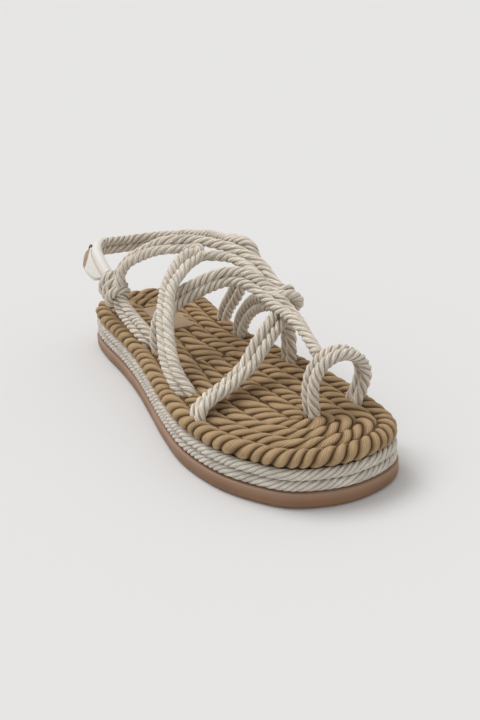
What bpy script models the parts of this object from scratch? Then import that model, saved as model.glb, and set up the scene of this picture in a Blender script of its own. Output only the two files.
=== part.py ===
"""Flat rope sandal for the right foot, standing on its sole.

Driving sizes are in millimetres. +Y points to the toe, +X to the outer side of the foot,
+Z up, and the origin lies under the middle of the sole, on the floor.
"""

import math

import bmesh
import bpy
import numpy as np

MM = 0.001
FIT_GAP = 0.3
SPAN_SAMPLES = 16
WELD_DISTANCE = 0.01
CREASE_ANGLE = 40.0

# Sole
SOLE_HALF_LENGTH = 127.5
OUTSOLE_HEIGHT = 7.5
OUTSOLE_EDGE_ROUND = 1.6
OUTSOLE_TOP_ROUND = 0.5
SIDE_STATIONS = 18
TOE_SPOKES = 15
HEEL_SPOKES = 13
OUTLINE_SECTIONS = 2 * SIDE_STATIONS + TOE_SPOKES + HEEL_SPOKES

# Outline of the outsole: station along the foot, outer edge, inner edge
OUTLINE = (
    (-120.0, 27.0, -25.9),
    (-110.0, 32.4, -31.4),
    (-90.0, 34.6, -33.7),
    (-60.0, 34.4, -31.4),
    (-30.0, 35.7, -30.6),
    (0.0, 39.0, -35.0),
    (30.0, 42.7, -40.8),
    (60.0, 44.1, -43.7),
    (90.0, 37.9, -44.1),
    (110.0, 26.7, -41.2),
    (120.0, 17.5, -34.0),
)
HEEL_TIP_X = 0.5
TOE_TIP_X = -8.0

# Middle line that the rope rings of the footbed close in on: station, x
SPINE = (
    (-93.0, 0.5),
    (-30.0, 2.4),
    (30.0, 1.0),
    (84.0, -5.0),
)

# White ropes round the side
SIDE_ROPE_RADIUS = 2.4
SIDE_ROPE_INSET = 3.4
SIDE_ROPE_SIDES = 8

# Coiled rope footbed
BED_ROPE_WIDTH = 9.2
BED_EDGE_INSET = 0.6
BED_RINGS = 3
BED_CREST_Z = 25.8
BED_VALLEY_Z = 23.3
BED_SHOULDER_Z = 24.9
BED_SHOULDER_OUT = 3.1
BED_CORE_INSET = 6.2
BED_INNER_STEPS = 6
BED_THIN_ROW = 1.5
# Outer flank of the first ring, from the overhang up: inset, height
BED_FLANK = (
    (3.0, 18.0),
    (1.4, 19.2),
    (0.6, 21.7),
    (1.8, 24.4),
)

# Bare patch let into the heel
PATCH_CENTRE = (1.5, -66.0)
PATCH_WIDTH = 17.0
PATCH_LENGTH = 42.0
PATCH_CORNER = 2.5
PATCH_BOTTOM_Z = 24.4
PATCH_THICKNESS = 1.5
PATCH_CORNER_STEPS = 3
RECESS_CLEARANCE = 2.0

# Strap ropes, laid in pairs
ROPE_RADIUS = 2.8
PAIR_HALF_SPACING = 2.65
PAIR_NOTCH = 0.95
HULL_ROUND_STEPS = 5
ROPE_STEP = 7.0
FACING_SMOOTH = 3
ROPE_END_Z = 19.5
POCKET_TOP_Z = 31.0

# Directions that the flat face of a rope pair looks in
FRONT = (0.37, 0.85, 0.38)
OUT = (1.0, 0.0, 0.2)
OUT_FRONT = (0.85, 0.45, 0.3)
OUT_BACK = (0.75, -0.3, 0.6)
BACK = (0.0, -1.0, 0.1)
IN = (-1.0, 0.0, 0.2)
IN_UP = (-0.6, 0.2, 0.8)
UP = (0.0, 0.1, 1.0)

# Routes of the rope pairs, anchor to anchor: x, y, z, facing
TOE_LOOP = (
    (-10.5, 86.5, ROPE_END_Z, OUT),
    (-10.3, 86.5, 27.0, OUT),
    (-10.5, 85.5, 37.0, OUT),
    (-13.3, 85.5, 45.0, OUT),
    (-19.6, 85.5, 50.0, UP),
    (-28.0, 85.0, 50.4, UP),
    (-35.5, 84.5, 46.0, IN),
    (-38.5, 84.0, 38.5, IN),
    (-36.8, 83.8, 31.0, IN),
    (-34.0, 83.8, 25.0, IN),
    (-33.5, 83.8, ROPE_END_Z, IN),
)
FOREFOOT_BAND = (
    (35.6, 64.2, ROPE_END_Z, FRONT),
    (34.0, 63.3, 24.0, FRONT),
    (30.0, 61.2, 28.0, FRONT),
    (21.0, 56.0, 31.5, FRONT),
    (3.5, 46.0, 37.6, FRONT),
    (-9.0, 39.0, 44.0, FRONT),
    (-18.0, 34.0, 49.0, FRONT),
    (-24.0, 30.5, 51.0, UP),
    (-27.8, 29.0, 45.0, IN),
    (-29.5, 27.5, 35.0, IN),
    (-30.2, 25.0, 26.0, IN),
    (-30.2, 24.5, ROPE_END_Z, IN),
)
DIAGONAL = (
    (-17.0, 81.0, 48.0, UP),
    (-18.5, 74.0, 48.5, UP),
    (-21.0, 60.0, 51.0, UP),
    (-23.5, 43.0, 54.0, UP),
    (-24.5, 30.5, 56.0, UP),
    (-22.8, 19.0, 60.0, FRONT),
    (-20.5, 10.0, 62.8, FRONT),
    (-16.8, 2.0, 65.0, FRONT),
    (-10.6, -5.0, 64.4, FRONT),
    (-2.5, -10.0, 61.2, FRONT),
    (5.8, -15.0, 56.9, FRONT),
    (14.4, -20.0, 50.0, FRONT),
    (20.5, -22.5, 40.5, OUT_FRONT),
    (23.0, -21.5, 30.0, OUT_FRONT),
    (23.0, -20.0, 24.0, OUT_FRONT),
    (23.0, -20.0, ROPE_END_Z, OUT_FRONT),
)
INSTEP = (
    (30.5, 38.0, ROPE_END_Z, OUT_FRONT),
    (30.7, 37.5, 24.0, OUT_FRONT),
    (32.8, 31.0, 29.7, OUT_FRONT),
    (33.0, 22.0, 37.2, OUT_FRONT),
    (30.7, 13.0, 44.1, OUT_FRONT),
    (27.3, 4.0, 51.1, OUT_FRONT),
    (22.4, -6.0, 57.7, OUT_FRONT),
    (15.9, -15.0, 63.6, OUT_FRONT),
    (6.5, -24.0, 68.2, FRONT),
    (-2.7, -30.5, 70.6, FRONT),
    (-11.5, -34.0, 71.6, FRONT),
    (-18.5, -31.0, 71.4, FRONT),
)
ANKLE_AND_BRIDGE = (
    (28.0, -73.5, 45.0, FRONT),
    (27.6, -70.0, 51.5, FRONT),
    (25.4, -69.0, 57.2, OUT_FRONT),
    (21.4, -68.3, 61.6, OUT_BACK),
    (16.4, -65.5, 65.2, OUT_BACK),
    (10.3, -60.5, 69.0, OUT_BACK),
    (2.3, -53.4, 71.9, FRONT),
    (-6.5, -46.0, 72.8, FRONT),
    (-12.5, -39.0, 72.4, FRONT),
    (-18.5, -30.0, 71.5, FRONT),
    (-22.6, -21.0, 70.9, FRONT),
    (-25.6, -10.0, 69.2, FRONT),
    (-27.2, 1.0, 66.6, FRONT),
    (-26.5, 12.0, 63.3, FRONT),
    (-27.0, 20.0, 60.8, FRONT),
    (-33.5, 22.5, 59.5, IN_UP),
    (-37.3, 20.0, 54.7, IN),
    (-36.3, 14.5, 50.5, IN),
    (-33.0, 9.0, 49.7, IN),
    (-29.6, 3.0, 49.8, IN),
    (-27.3, -6.0, 46.5, IN),
    (-25.1, -16.0, 37.5, IN),
    (-24.2, -21.5, 27.0, IN),
    (-24.2, -22.5, ROPE_END_Z, IN),
)
HEEL_STRAP = (
    (23.5, -32.0, ROPE_END_Z, OUT_FRONT),
    (23.7, -33.5, 25.5, OUT_FRONT),
    (25.0, -39.0, 29.2, OUT_FRONT),
    (26.4, -50.0, 32.0, OUT_FRONT),
    (27.8, -64.5, 36.8, OUT_FRONT),
    (28.0, -73.5, 43.2, OUT),
    (28.9, -84.0, 47.8, OUT),
    (29.3, -96.0, 53.0, OUT),
    (27.6, -108.5, 57.0, OUT),
    (22.0, -117.0, 58.8, BACK),
    (14.0, -121.0, 57.6, BACK),
    (5.5, -122.3, 56.6, BACK),
    (-3.8, -121.5, 56.8, BACK),
    (-14.9, -116.0, 57.6, BACK),
    (-23.5, -104.0, 59.7, IN),
    (-29.4, -86.0, 63.2, IN),
    (-31.6, -64.0, 68.0, IN_UP),
    (-30.5, -45.0, 72.0, UP),
    (-29.8, -34.0, 73.8, UP),
    (-30.6, -25.5, 74.6, UP),
    (-32.7, -20.5, 72.8, IN_UP),
    (-33.3, -20.0, 68.3, IN),
    (-33.0, -23.0, 62.0, IN),
    (-31.5, -29.5, 53.5, IN),
    (-29.3, -37.0, 43.5, IN),
    (-27.2, -44.5, 33.0, IN),
    (-26.0, -48.0, 25.5, IN),
    (-26.0, -49.0, ROPE_END_Z, IN),
)

# Wrapped knot that ties the ankle pair to the heel pair
KNOT_AT = (28.0, -73.5, 43.2)
KNOT_TURNS = 2
KNOT_PITCH = 5.2
KNOT_STEPS_PER_TURN = 10
KNOT_SINK = 0.8
KNOT_CORE_RADIUS = 4.2
KNOT_CORE_STEP = 4

# Leather tab folded round the heel pair, its edges joined as a flange
TAB_FROM = (28.9, -86.0, 48.8)
TAB_TO = (21.0, -117.8, 58.7)
TAB_WALL = 1.2
FLANGE_HALF_THICKNESS = 1.1
FLANGE_INSIDE_REACH = 0.05
# Reach of the flange: share of the way from the knot end, millimetres
FLANGE_REACH = (
    (0.0, 4.6),
    (0.2, 6.2),
    (0.4, 5.6),
    (0.6, 3.0),
    (0.8, 0.3),
    (1.0, 0.3),
)
RIVET_RADIUS = 1.8
RIVET_TOP_RADIUS = 1.1
RIVET_EDGE_HEIGHT = 0.6
RIVET_HEIGHT = 1.0
RIVET_SIDES = 16
RIVET_PLACE = 0.89
RIVET_REACH = 0.3

# Looks of the plain solids: base colour, roughness, metallic
FINISHES = {
    "outsole": ((0.42, 0.25, 0.15), 0.6, 0.0),
    "side_rope": ((0.78, 0.76, 0.72), 0.8, 0.0),
    "footbed": ((0.41, 0.28, 0.15), 0.9, 0.0),
    "heel_patch": ((0.50, 0.35, 0.21), 0.6, 0.0),
    "rope_straps": ((0.74, 0.69, 0.60), 0.7, 0.0),
    "heel_tab": ((0.82, 0.80, 0.76), 0.5, 0.0),
    "tab_rivet": ((0.22, 0.22, 0.22), 0.35, 1.0),
}


def clear_scene():
    for old in list(bpy.data.objects):
        bpy.data.objects.remove(old, do_unlink=True)


def finish(name):
    colour, roughness, metallic = FINISHES[name]
    material = bpy.data.materials.new(name)
    material.use_nodes = True
    shader = material.node_tree.nodes["Principled BSDF"]
    shader.inputs["Base Color"].default_value = (*colour, 1.0)
    shader.inputs["Roughness"].default_value = roughness
    shader.inputs["Metallic"].default_value = metallic
    return material


def unit(vectors):
    return vectors / np.linalg.norm(vectors, axis=-1, keepdims=True)


def spline(points, closed=False, per_span=SPAN_SAMPLES):
    """Centripetal Catmull-Rom curve through the points, as closely spaced samples."""
    points = np.array(points, dtype=float)
    if closed:
        points = np.vstack([points[-1:], points, points[:2]])
    else:
        before = 2.0 * points[:1] - points[1:2]
        after = 2.0 * points[-1:] - points[-2:-1]
        points = np.vstack([before, points, after])
    spans = np.sqrt(np.linalg.norm(np.diff(points, axis=0), axis=1))
    knots = np.concatenate([[0.0], np.cumsum(spans)])
    pieces = []
    for first in range(len(points) - 3):
        p = points[first:first + 4]
        k = knots[first:first + 4]
        t = np.linspace(k[1], k[2], per_span, endpoint=False)[:, None]
        levels = list(p)
        for width in (1, 2, 3):
            levels = [
                blend(levels[i], levels[i + 1], k, i, width, t)
                for i in range(len(levels) - 1)
            ]
        pieces.append(levels[0])
    curve = np.vstack(pieces)
    if not closed:
        curve = np.vstack([curve, points[-2]])
    return curve


def blend(start, end, knots, i, width, t):
    """One step of the curve's pyramid: the middle span's own knots cap its reach."""
    if width == 3:
        low = knots[1]
        high = knots[2]
    else:
        low = knots[i]
        high = knots[i + width]
    return start * (high - t) / (high - low) + end * (t - low) / (high - low)


def arc_lengths(curve):
    steps = np.linalg.norm(np.diff(curve, axis=0), axis=1)
    return np.concatenate([[0.0], np.cumsum(steps)])


def resample(curve, count, closed=False):
    """The same curve as evenly spaced points."""
    if closed:
        curve = np.vstack([curve, curve[:1]])
    lengths = arc_lengths(curve)
    at = np.linspace(0.0, lengths[-1], count, endpoint=not closed)
    return np.column_stack([np.interp(at, lengths, column) for column in curve.T])


def add_object(name, vertices, faces, material=None):
    """A smooth closed mesh object from points in millimetres, with its faces out."""
    mesh = bpy.data.meshes.new(name)
    mesh.from_pydata([tuple(float(v) * MM for v in p) for p in vertices], [], faces)
    work = bmesh.new()
    work.from_mesh(mesh)
    bmesh.ops.recalc_face_normals(work, faces=work.faces)
    work.to_mesh(mesh)
    work.free()
    mesh.shade_smooth()
    mesh.set_sharp_from_angle(angle=math.radians(CREASE_ANGLE))
    piece = bpy.data.objects.new(name, mesh)
    bpy.context.collection.objects.link(piece)
    if material:
        mesh.materials.append(material)
    return piece


def join_with(piece, other, operation):
    """Keep a Boolean on the piece, with the other mesh as its hidden guide."""
    other.hide_render = True
    other.display_type = 'WIRE'
    modifier = piece.modifiers.new(f"{operation.lower()} {other.name}", 'BOOLEAN')
    modifier.operation = operation
    modifier.solver = 'EXACT'
    modifier.use_self = True
    modifier.object = other


def strip_faces(first_ring, second_ring):
    """Quads between two closed rings of vertex numbers, without the collapsed ones."""
    faces = []
    count = len(first_ring)
    for i in range(count):
        j = (i + 1) % count
        corners = [first_ring[i], first_ring[j], second_ring[j], second_ring[i]]
        kept = list(dict.fromkeys(corners))
        if len(kept) > 2:
            faces.append(kept)
    return faces


def sole_spokes():
    """Outline points of the outsole and, for each, the spine point that it closes in on.

    The long sides are cut square to the foot at the same stations, so their spokes share
    the spine, and the spokes of the toe and the heel fan out from the spine's ends.
    """
    outer = [(x_outer, y) for y, x_outer, _ in OUTLINE]
    inner = [(x_inner, y) for y, _, x_inner in reversed(OUTLINE)]
    corners = [(HEEL_TIP_X, -SOLE_HALF_LENGTH)] + outer
    corners += [(TOE_TIP_X, SOLE_HALF_LENGTH)] + inner
    edge = spline(corners, closed=True)
    toe_start = len(edge) // 2
    outer_edge = edge[:toe_start + 1]
    inner_edge = np.vstack([edge[toe_start:], edge[:1]])[::-1]
    spine_y, spine_x = np.array(SPINE).T
    stations = np.linspace(spine_y[0], spine_y[-1], SIDE_STATIONS)
    spine = np.column_stack([np.interp(stations, spine_y, spine_x), stations])
    outer_side = np.column_stack([np.interp(stations, outer_edge[:, 1], outer_edge[:, 0]), stations])
    inner_side = np.column_stack([np.interp(stations, inner_edge[:, 1], inner_edge[:, 0]), stations])
    toe = fan(edge, spine[-1], 0.0, TOE_SPOKES)
    heel = fan(edge, spine[0], math.pi, HEEL_SPOKES)
    points = np.vstack([outer_side, toe, inner_side[::-1], heel])
    ends = [spine, np.tile(spine[-1], (TOE_SPOKES, 1)), spine[::-1], np.tile(spine[0], (HEEL_SPOKES, 1))]
    return points, np.vstack(ends)


def fan(edge, centre, first_angle, count):
    """Where evenly turned rays from a point meet the outline, over half a turn."""
    arms = edge - centre
    angles = np.mod(np.arctan2(arms[:, 1], arms[:, 0]), math.tau)
    order = np.argsort(angles)
    reach = np.linalg.norm(arms, axis=1)[order]
    rays = first_angle + math.pi * np.arange(1, count + 1) / (count + 1)
    reach = np.interp(rays, angles[order], reach, period=math.tau)
    return centre + np.column_stack([np.cos(rays), np.sin(rays)]) * reach[:, None]


def inset_loop(inset, z):
    """The outline moved in towards the spine, at one height."""
    edge, spine = sole_spokes()
    loop = edge + unit(spine - edge) * inset
    return np.column_stack([loop, np.full(len(loop), z)])


def build_outsole():
    low = OUTSOLE_EDGE_ROUND
    high = OUTSOLE_HEIGHT - OUTSOLE_TOP_ROUND
    corner = low * (1.0 - math.sqrt(0.5))
    loops = [
        inset_loop(low, 0.0),
        inset_loop(corner, corner),
        inset_loop(0.0, low),
        inset_loop(0.0, high),
        inset_loop(OUTSOLE_TOP_ROUND, OUTSOLE_HEIGHT),
    ]
    capped("outsole", loops, finish("outsole"))


def stack_loops(loops):
    """Vertices and side faces of loops that follow each other."""
    count = len(loops[0])
    faces = []
    for level in range(len(loops) - 1):
        first = list(range(level * count, (level + 1) * count))
        second = list(range((level + 1) * count, (level + 2) * count))
        faces += strip_faces(first, second)
    return np.vstack(loops), faces


def build_side_ropes():
    material = finish("side_rope")
    first_z = OUTSOLE_HEIGHT + FIT_GAP + SIDE_ROPE_RADIUS
    row_rise = 2.0 * SIDE_ROPE_RADIUS + FIT_GAP
    rows = ("side_rope_lower", "side_rope_upper")
    for row, name in enumerate(rows):
        z = first_z + row * row_rise
        loops = []
        for side in range(SIDE_ROPE_SIDES):
            angle = math.tau * (side + 0.5) / SIDE_ROPE_SIDES
            inset = SIDE_ROPE_INSET - SIDE_ROPE_RADIUS * math.cos(angle)
            loops.append(inset_loop(inset, z + SIDE_ROPE_RADIUS * math.sin(angle)))
        vertices, faces = stack_loops(loops + loops[:1])
        last = len(loops) * OUTLINE_SECTIONS
        faces = [[v - last if v >= last else v for v in face] for face in faces]
        add_object(name, vertices[:last], faces, material)


def ring_profile():
    """Inset and height across the closed rings, from the outer flank to the last valley."""
    half = BED_ROPE_WIDTH / 2.0
    profile = list(BED_FLANK)
    for ring in range(BED_RINGS):
        crest = BED_EDGE_INSET + half + ring * BED_ROPE_WIDTH
        if ring:
            profile.append((crest - BED_SHOULDER_OUT, BED_SHOULDER_Z))
        profile.append((crest, BED_CREST_Z))
        profile.append((crest + BED_SHOULDER_OUT, BED_SHOULDER_Z))
        profile.append((crest + half, BED_VALLEY_Z))
    return profile


def row_height(across, width):
    """Height of a rope row at a place across it, lower where the row is squeezed thin."""
    fullness = np.clip(width / BED_ROPE_WIDTH, 0.0, 1.0)
    round_part = np.sqrt(np.clip(1.0 - (2.0 * across / np.maximum(width, 0.01)) ** 2, 0.0, 1.0))
    return BED_VALLEY_Z + (BED_CREST_Z - BED_VALLEY_Z) * fullness * round_part


def inner_loops(last_inset):
    """Middle row and, where there is room, the row beside it, closing on the spine."""
    edge, spine = sole_spokes()
    room = np.linalg.norm(edge - spine, axis=1) - last_inset
    beside = room - BED_ROPE_WIDTH / 2.0
    beside = np.where(beside < BED_THIN_ROW, 0.0, beside)
    middle_half = room - beside
    loops = []
    for step in range(1, BED_INNER_STEPS + 1):
        if step <= BED_INNER_STEPS / 2:
            share = step / (BED_INNER_STEPS / 2)
            from_spine = room - beside * share
            z = row_height(beside * (share - 0.5), beside)
        else:
            share = (step - BED_INNER_STEPS / 2) / (BED_INNER_STEPS / 2)
            from_spine = middle_half * (1.0 - share)
            z = row_height(from_spine, 2.0 * middle_half)
            z = np.where(from_spine > 0.0, z, BED_CREST_Z)
        place = spine + unit(edge - spine) * from_spine[:, None]
        loops.append(np.column_stack([place, z]))
    return loops


def weld(vertices, faces):
    """Merge vertices at the same place, such as the two sides of the spine."""
    numbers = {}
    kept = []
    renamed = []
    for point in vertices:
        key = tuple(np.round(point, 3))
        if key not in numbers:
            numbers[key] = len(kept)
            kept.append(point)
        renamed.append(numbers[key])
    welded = []
    for face in faces:
        corners = list(dict.fromkeys(renamed[v] for v in face))
        if len(corners) > 2:
            welded.append(corners)
    return kept, welded


def build_footbed():
    profile = ring_profile()
    overhang_z = BED_FLANK[0][1]
    loops = [
        inset_loop(BED_CORE_INSET, OUTSOLE_HEIGHT + FIT_GAP),
        inset_loop(BED_CORE_INSET, overhang_z),
    ]
    loops += [inset_loop(inset, z) for inset, z in profile]
    loops += inner_loops(profile[-1][0])
    vertices, faces = stack_loops(loops)
    faces.append(list(range(OUTLINE_SECTIONS)))
    vertices, faces = weld(vertices, faces)
    footbed = add_object("footbed", vertices, faces, finish("footbed"))
    recess_bottom = PATCH_BOTTOM_Z - FIT_GAP
    recess_height = BED_CREST_Z + RECESS_CLEARANCE - recess_bottom
    recess = add_plate("patch recess", FIT_GAP, recess_bottom, recess_height)
    join_with(footbed, recess, 'DIFFERENCE')
    for pocket in leg_pockets():
        join_with(footbed, pocket, 'DIFFERENCE')


def add_plate(name, margin, bottom, height, material=None):
    """The heel patch's outline, grown by a margin, as an upright prism."""
    half_width = PATCH_WIDTH / 2.0 - PATCH_CORNER
    half_length = PATCH_LENGTH / 2.0 - PATCH_CORNER
    radius = PATCH_CORNER + margin
    ring = []
    for quarter, (sign_x, sign_y) in enumerate(((1, 1), (-1, 1), (-1, -1), (1, -1))):
        for step in range(PATCH_CORNER_STEPS + 1):
            angle = math.radians(90.0 * (quarter + step / PATCH_CORNER_STEPS))
            x = PATCH_CENTRE[0] + sign_x * half_width + radius * math.cos(angle)
            y = PATCH_CENTRE[1] + sign_y * half_length + radius * math.sin(angle)
            ring.append((x, y))
    count = len(ring)
    vertices = [(x, y, bottom) for x, y in ring] + [(x, y, bottom + height) for x, y in ring]
    low = list(range(count))
    high = list(range(count, 2 * count))
    return add_object(name, vertices, strip_faces(low, high) + [low, high], material)


def build_heel_patch():
    add_plate("heel_patch", 0.0, PATCH_BOTTOM_Z, PATCH_THICKNESS, finish("heel_patch"))


def across(vectors, tangent):
    """Unit vectors with their part along the tangent taken out."""
    along = np.sum(vectors * tangent, axis=1, keepdims=True)
    return unit(vectors - along * tangent)


def pair_section(grow=0.0):
    """Outline of two ropes side by side, with the groove between them: side, normal."""
    radius = ROPE_RADIUS + grow
    notch = PAIR_NOTCH + grow
    lobe = [math.radians(a) for a in (-130.0, -65.0, 0.0, 65.0, 130.0)]
    right = [(PAIR_HALF_SPACING + radius * math.cos(a), radius * math.sin(a)) for a in lobe]
    left = [(-side, -up) for side, up in right]
    return right + [(0.0, notch)] + left + [(0.0, -notch)]


def carry(lay, section):
    """The loops of one section carried along a laid pair."""
    loops = []
    for place, out, beside in zip(*lay):
        loops.append(np.array([place + beside * u + out * v for u, v in section]))
    return loops


def capped(name, loops, material=None):
    """A closed solid through the loops, with flat ends."""
    vertices, faces = stack_loops(loops)
    count = len(loops[0])
    faces.append(list(range(count)))
    faces.append(list(range(len(vertices) - count, len(vertices))))
    return add_object(name, vertices, faces, material)


def lay_pair(route, step=ROPE_STEP):
    """Places along a pair's route, with the direction it faces and the one across it."""
    points = np.array([row[:3] for row in route])
    facing = unit(np.array([row[3] for row in route]))
    curve = spline(points)
    lengths = arc_lengths(curve)
    path = resample(curve, int(round(lengths[-1] / step)) + 1)
    at = np.linspace(0.0, lengths[-1], len(path))
    row_at = lengths[::SPAN_SAMPLES]
    turned = np.column_stack([np.interp(at, row_at, column) for column in facing.T])
    tangent = unit(np.gradient(path, axis=0))
    normal = across(turned, tangent)
    for _ in range(FACING_SMOOTH):
        padded = np.vstack([normal[:1], normal, normal[-1:]])
        normal = across(padded[:-2] + 2.0 * padded[1:-1] + padded[2:], tangent)
    return path, normal, np.cross(tangent, normal)


def leg_pockets():
    """Clearance holes for the strap legs, each a little wider than the pair in it."""
    pockets = []
    routes = (TOE_LOOP, FOREFOOT_BAND, DIAGONAL, INSTEP, ANKLE_AND_BRIDGE, HEEL_STRAP)
    for number, route in enumerate(routes):
        for end, points in enumerate((route, route[::-1])):
            if points[0][2] > ROPE_END_Z:
                continue
            lay = lay_pair(points)
            loops = carry(lay, pair_section(FIT_GAP))
            clear = int(np.argmax(lay[0][:, 2] > POCKET_TOP_Z))
            loops[0][:, 2] -= FIT_GAP
            pockets.append(capped(f"pocket {number} {end}", loops[:clear + 1]))
    return pockets


def knot_frames():
    """The heel pair under the knot: places, outward and side directions."""
    path, normal, side = lay_pair(HEEL_STRAP, KNOT_PITCH / KNOT_STEPS_PER_TURN)
    steps = KNOT_TURNS * KNOT_STEPS_PER_TURN
    first = int(np.argmin(np.linalg.norm(path - KNOT_AT, axis=1))) - steps // 2
    wound = slice(first, first + steps + 1)
    return path[wound], normal[wound], side[wound]


def add_knot_turns(frames):
    """Turns of rope wound round the heel pair where the ankle pair is tied on."""
    path, normal, side = frames
    reach = 2.0 * ROPE_RADIUS - KNOT_SINK
    angle = np.linspace(0.0, math.tau * KNOT_TURNS, len(path))[:, None]
    beside = side * (PAIR_HALF_SPACING + reach) * np.cos(angle)
    return add_cord("knot turns", path + beside + normal * reach * np.sin(angle))


def add_knot_core(frames):
    """Solid middle of the knot, which fills the grooves under its turns."""
    spaced = [part[::KNOT_CORE_STEP] for part in frames]
    return capped("knot core", carry(spaced, pair_hull(KNOT_CORE_RADIUS)))


def add_cord(name, path):
    """A single rope as a bevelled curve with filled ends, made a mesh."""
    curve = bpy.data.curves.new(name, 'CURVE')
    curve.dimensions = '3D'
    curve.bevel_depth = ROPE_RADIUS * MM
    curve.bevel_resolution = 2
    curve.use_fill_caps = True
    line = curve.splines.new('POLY')
    line.points.add(len(path) - 1)
    for point, place in zip(line.points, path):
        point.co = (*[float(v) * MM for v in place], 1.0)
    cord = bpy.data.objects.new(name, curve)
    bpy.context.collection.objects.link(cord)
    depsgraph = bpy.context.evaluated_depsgraph_get()
    mesh = bpy.data.meshes.new_from_object(cord.evaluated_get(depsgraph))
    bpy.data.objects.remove(cord, do_unlink=True)
    work = bmesh.new()
    work.from_mesh(mesh)
    bmesh.ops.remove_doubles(work, verts=work.verts, dist=WELD_DISTANCE * MM)
    bmesh.ops.recalc_face_normals(work, faces=work.faces)
    work.to_mesh(mesh)
    work.free()
    piece = bpy.data.objects.new(name, mesh)
    bpy.context.collection.objects.link(piece)
    return piece


def build_rope_straps():
    """All rope pairs as one solid, joined where they cross or are tied."""
    section = pair_section()
    straps = capped("rope_straps", carry(lay_pair(DIAGONAL), section), finish("rope_straps"))
    joined = (
        ("toe loop", TOE_LOOP),
        ("forefoot band", FOREFOOT_BAND),
        ("instep pair", INSTEP),
        ("ankle pair", ANKLE_AND_BRIDGE),
        ("heel pair", HEEL_STRAP),
    )
    for name, route in joined:
        join_with(straps, capped(name, carry(lay_pair(route), section)), 'UNION')
    frames = knot_frames()
    join_with(straps, add_knot_core(frames), 'UNION')
    join_with(straps, add_knot_turns(frames), 'UNION')


def pair_hull(radius):
    """Smooth outline round both ropes of a pair, first one rope's half and then the other's."""
    ring = []
    for centre, start in ((PAIR_HALF_SPACING, -90.0), (-PAIR_HALF_SPACING, 90.0)):
        for step in range(HULL_ROUND_STEPS + 1):
            angle = math.radians(start + 180.0 * step / HULL_ROUND_STEPS)
            ring.append((centre + radius * math.cos(angle), radius * math.sin(angle)))
    return ring


def tab_section(grow, reach):
    """Outline of the folded tab, with its flange reaching out between the two ropes."""
    radius = ROPE_RADIUS + grow
    thick = FLANGE_HALF_THICKNESS
    flange = [(thick, radius), (thick, radius + reach), (-thick, radius + reach), (-thick, radius)]
    hull = pair_hull(radius)
    return hull[:HULL_ROUND_STEPS + 1] + flange + hull[HULL_ROUND_STEPS + 1:]


def tab_frames():
    """The heel pair's own sections under the tab: places, outward and side directions."""
    path, normal, side = lay_pair(HEEL_STRAP)
    first, last = (int(np.argmin(np.linalg.norm(path - p, axis=1))) for p in (TAB_FROM, TAB_TO))
    under = slice(first, last + 1)
    return path[under], normal[under], side[under]


def build_heel_tab():
    path, normal, side = tab_frames()
    shares, heights = np.array(FLANGE_REACH).T
    reaches = np.interp(np.linspace(0.0, 1.0, len(path)), shares, heights)
    outer = []
    inner = []
    for place, out, beside, reach in zip(path, normal, side, reaches):
        walls = ((outer, FIT_GAP + TAB_WALL, reach), (inner, FIT_GAP, FLANGE_INSIDE_REACH))
        for loops, grow, height in walls:
            section = tab_section(grow, height)
            loops.append(np.array([place + beside * u + out * v for u, v in section]))
    vertices, faces = stack_loops(outer + inner[::-1] + outer[:1])
    count = len(outer[0])
    last = len(vertices) - count
    faces = [[v - last if v >= last else v for v in face] for face in faces]
    add_object("heel_tab", vertices[:last], faces, finish("heel_tab"))


def build_tab_rivet():
    """Round rivet cap on the outer face of the tab, past the end of the flange."""
    frames = tab_frames()
    shares = np.linspace(0.0, 1.0, len(frames[0]))
    place, out, beside = (np.array([np.interp(RIVET_PLACE, shares, c) for c in part.T]) for part in frames)
    out = out / np.linalg.norm(out)
    along = np.cross(out, beside)
    along = along / np.linalg.norm(along)
    beside = np.cross(along, out)
    foot = place + out * (ROPE_RADIUS + FIT_GAP + TAB_WALL + RIVET_REACH + FIT_GAP)
    loops = []
    cap = ((RIVET_RADIUS, 0.0), (RIVET_RADIUS, RIVET_EDGE_HEIGHT), (RIVET_TOP_RADIUS, RIVET_HEIGHT))
    for radius, height in cap:
        ring = []
        for step in range(RIVET_SIDES):
            angle = math.tau * step / RIVET_SIDES
            spot = foot + out * height
            ring.append(spot + along * radius * math.cos(angle) + beside * radius * math.sin(angle))
        loops.append(np.array(ring))
    capped("tab_rivet", loops, finish("tab_rivet"))


def main():
    clear_scene()
    build_outsole()
    build_side_ropes()
    build_footbed()
    build_heel_patch()
    build_rope_straps()
    build_heel_tab()
    build_tab_rivet()


main()
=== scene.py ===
"""Flat rope sandal, dressed: laid ropes, coiled footbed, leather tab, rubber outsole and the stage."""

import math

import bmesh
import bpy
import numpy as np
from mathutils import Matrix, Vector


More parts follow.
